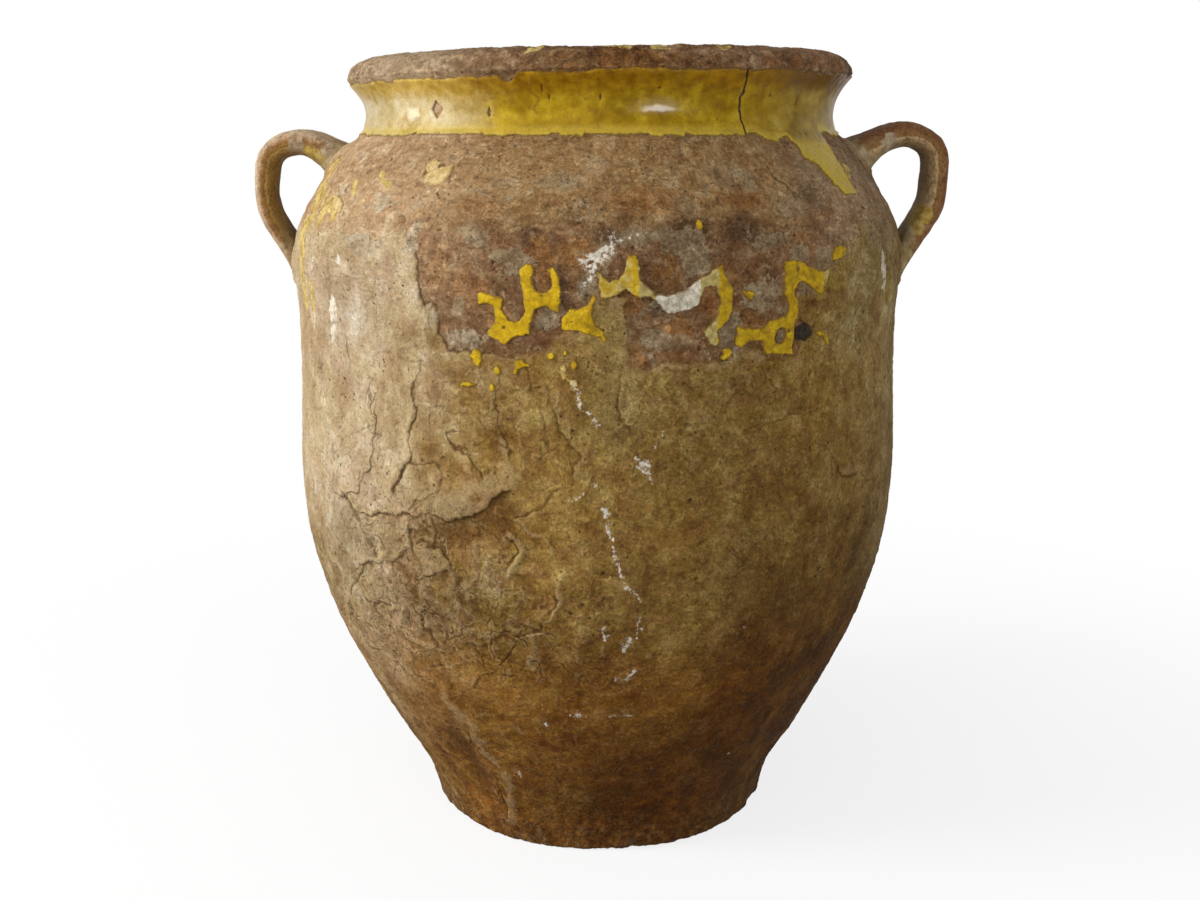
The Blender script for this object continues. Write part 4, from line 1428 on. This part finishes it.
def liningFinish():
    s = Shader("lining_glaze")
    cloud, mottle, speck = s.grain(30, 4, 81), s.grain(6, 4, 82), s.grain(1.2, 3, 83)
    ringTone = s.grain(14, 3, 84, (0.15, 0.15, 2.2))
    colour = s.ramp(cloud * 0.4 + mottle * 0.3 + ringTone * 0.3, (0.36, 0.16, 0.085, 0.018),
                    (0.48, 0.3, 0.18, 0.04), (0.56, 0.4, 0.27, 0.07), (0.66, 0.5, 0.37, 0.14))
    colour = s.blend(s.step(speck, 0.38, 0.28) * 0.6, colour, (0.06, 0.03, 0.01))
    crazing = s.step(s.cells(5, 85, feature="DISTANCE_TO_EDGE"), 0.04, 0.012)
    colour = s.blend(crazing * 0.4, colour, (0.1, 0.05, 0.015))
    worn = s.step(s.grain(20, 5, 86, swirl=0.8), 0.56, 0.62)
    colour = s.blend(worn * 0.6, colour, (0.3, 0.17, 0.08))
    relief = s.bump(ringTone, 0.8)
    relief = s.bump(mottle, 0.3, relief)
    return s.finish({"Base Color": colour, "Roughness": worn * 0.3 + 0.3, "Normal": relief,
                     "Coat Weight": 0.2, "Coat Roughness": 0.2})


liningLook = dict(columns=300, step=2.2)
liningRings = smoothOutline(turnedOutline("inner_glaze"), lambda k: liningLook["step"])
liningAround = (np.arange(liningLook["columns"]) + 0.5) / liningLook["columns"] * girth - girth / 2
low, end = liningRings[0], liningRings[-1]
liningRings = np.concatenate([flatRings(low, 1, low[0] - 1, 8), liningRings,
                              flatRings(end, end[0] - 1, 1, 20)])
liningPlaces, _ = turned(liningRings, liningAround)
lining = makeMesh("lining", liningPlaces.reshape(-1, 3), gridFaces(len(liningRings), len(liningAround), True),
                  {}, liningFinish())
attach(lining, "root")
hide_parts("inner_glaze")
print("lining made")


# floor, light and camera

stageLook = dict(
    floorSize=8.0, floorColour=(0.4, 0.39, 0.37), ambient=0.36,
    lens=45, sensor=36, cameraPlace=(0.00113, -0.6627, 0.29656), cameraDown=11.79, lampsAim=(0, 0, 0.2),
    # where each lamp is, its two sizes and its power
    lamps=dict(key=((-1.62, -0.55, 0.85), (0.7, 0.7), 34.0), front=((-0.6, -1.7, 1.0), (1.2, 1.2), 7.0),
               window=((0.45, -0.9, 0.17), (0.3, 0.19), 2.9), side=((-1.25, 0.13, 0.36), (0.16, 0.7), 3.2)))


def floorFinish():
    s = Shader("pale_floor")
    seen = s.seen()
    away = s.node("VectorMath", {"operation": "LENGTH"}, {0: s.place}, output="Value")
    pale = s.ramp(s.grain(4, 2, 91), (0.3, 0.97, 0.97, 0.97), (0.7, 1.0, 1.0, 1.0))
    plain = s.node("BsdfDiffuse", {}, {"Color": s.blend(seen, stageLook["floorColour"], pale)})
    shine = s.node("Emission", {}, {"Color": (1, 1, 1), "Strength": 1.0})
    return s.output(s.node("MixShader", {},
                           {0: seen * (s.step(away, 0.1, 0.6) * 0.2 + 0.8), 1: plain, 2: shine}))


def roomLight():
    s = Shader("pale_room", bpy.data.worlds)
    strength = s.node("MapRange", {}, {"Value": s.seen(), "To Min": stageLook["ambient"], "To Max": 1.0})
    return s.output(s.node("Background", {}, {"Color": (1, 1, 1), "Strength": strength}), "World")


half = stageLook["floorSize"] / 2 * 1000
corners = np.array([(-half, -half, 0), (half, -half, 0), (half, half, 0), (-half, half, 0)])
floor = makeMesh("floor", corners, np.array([[0, 1, 2, 3]]), {}, floorFinish())
bpy.context.scene.world = roomLight()

for name, (place, size, power) in stageLook["lamps"].items():
    lamp = bpy.data.lights.new(name, "AREA")
    lamp.shape = "RECTANGLE"
    lamp.size, lamp.size_y = size
    lamp.energy = power
    thing = addObject(name, lamp)
    thing.location = place
    thing.rotation_euler = (Vector(stageLook["lampsAim"]) - Vector(place)).to_track_quat("-Z", "Y").to_euler()
    thing.visible_camera = False
    thing.visible_diffuse = name != "side"  # that one only shows in the glaze

camera = bpy.data.cameras.new("camera")
camera.lens, camera.sensor_width = stageLook["lens"], stageLook["sensor"]
viewer = addObject("camera", camera)
viewer.location = stageLook["cameraPlace"]
viewer.rotation_euler = (math.radians(90 - stageLook["cameraDown"]), 0, 0)
bpy.context.scene.camera = viewer
bpy.context.scene.view_settings.view_transform = "Standard"

print("done")
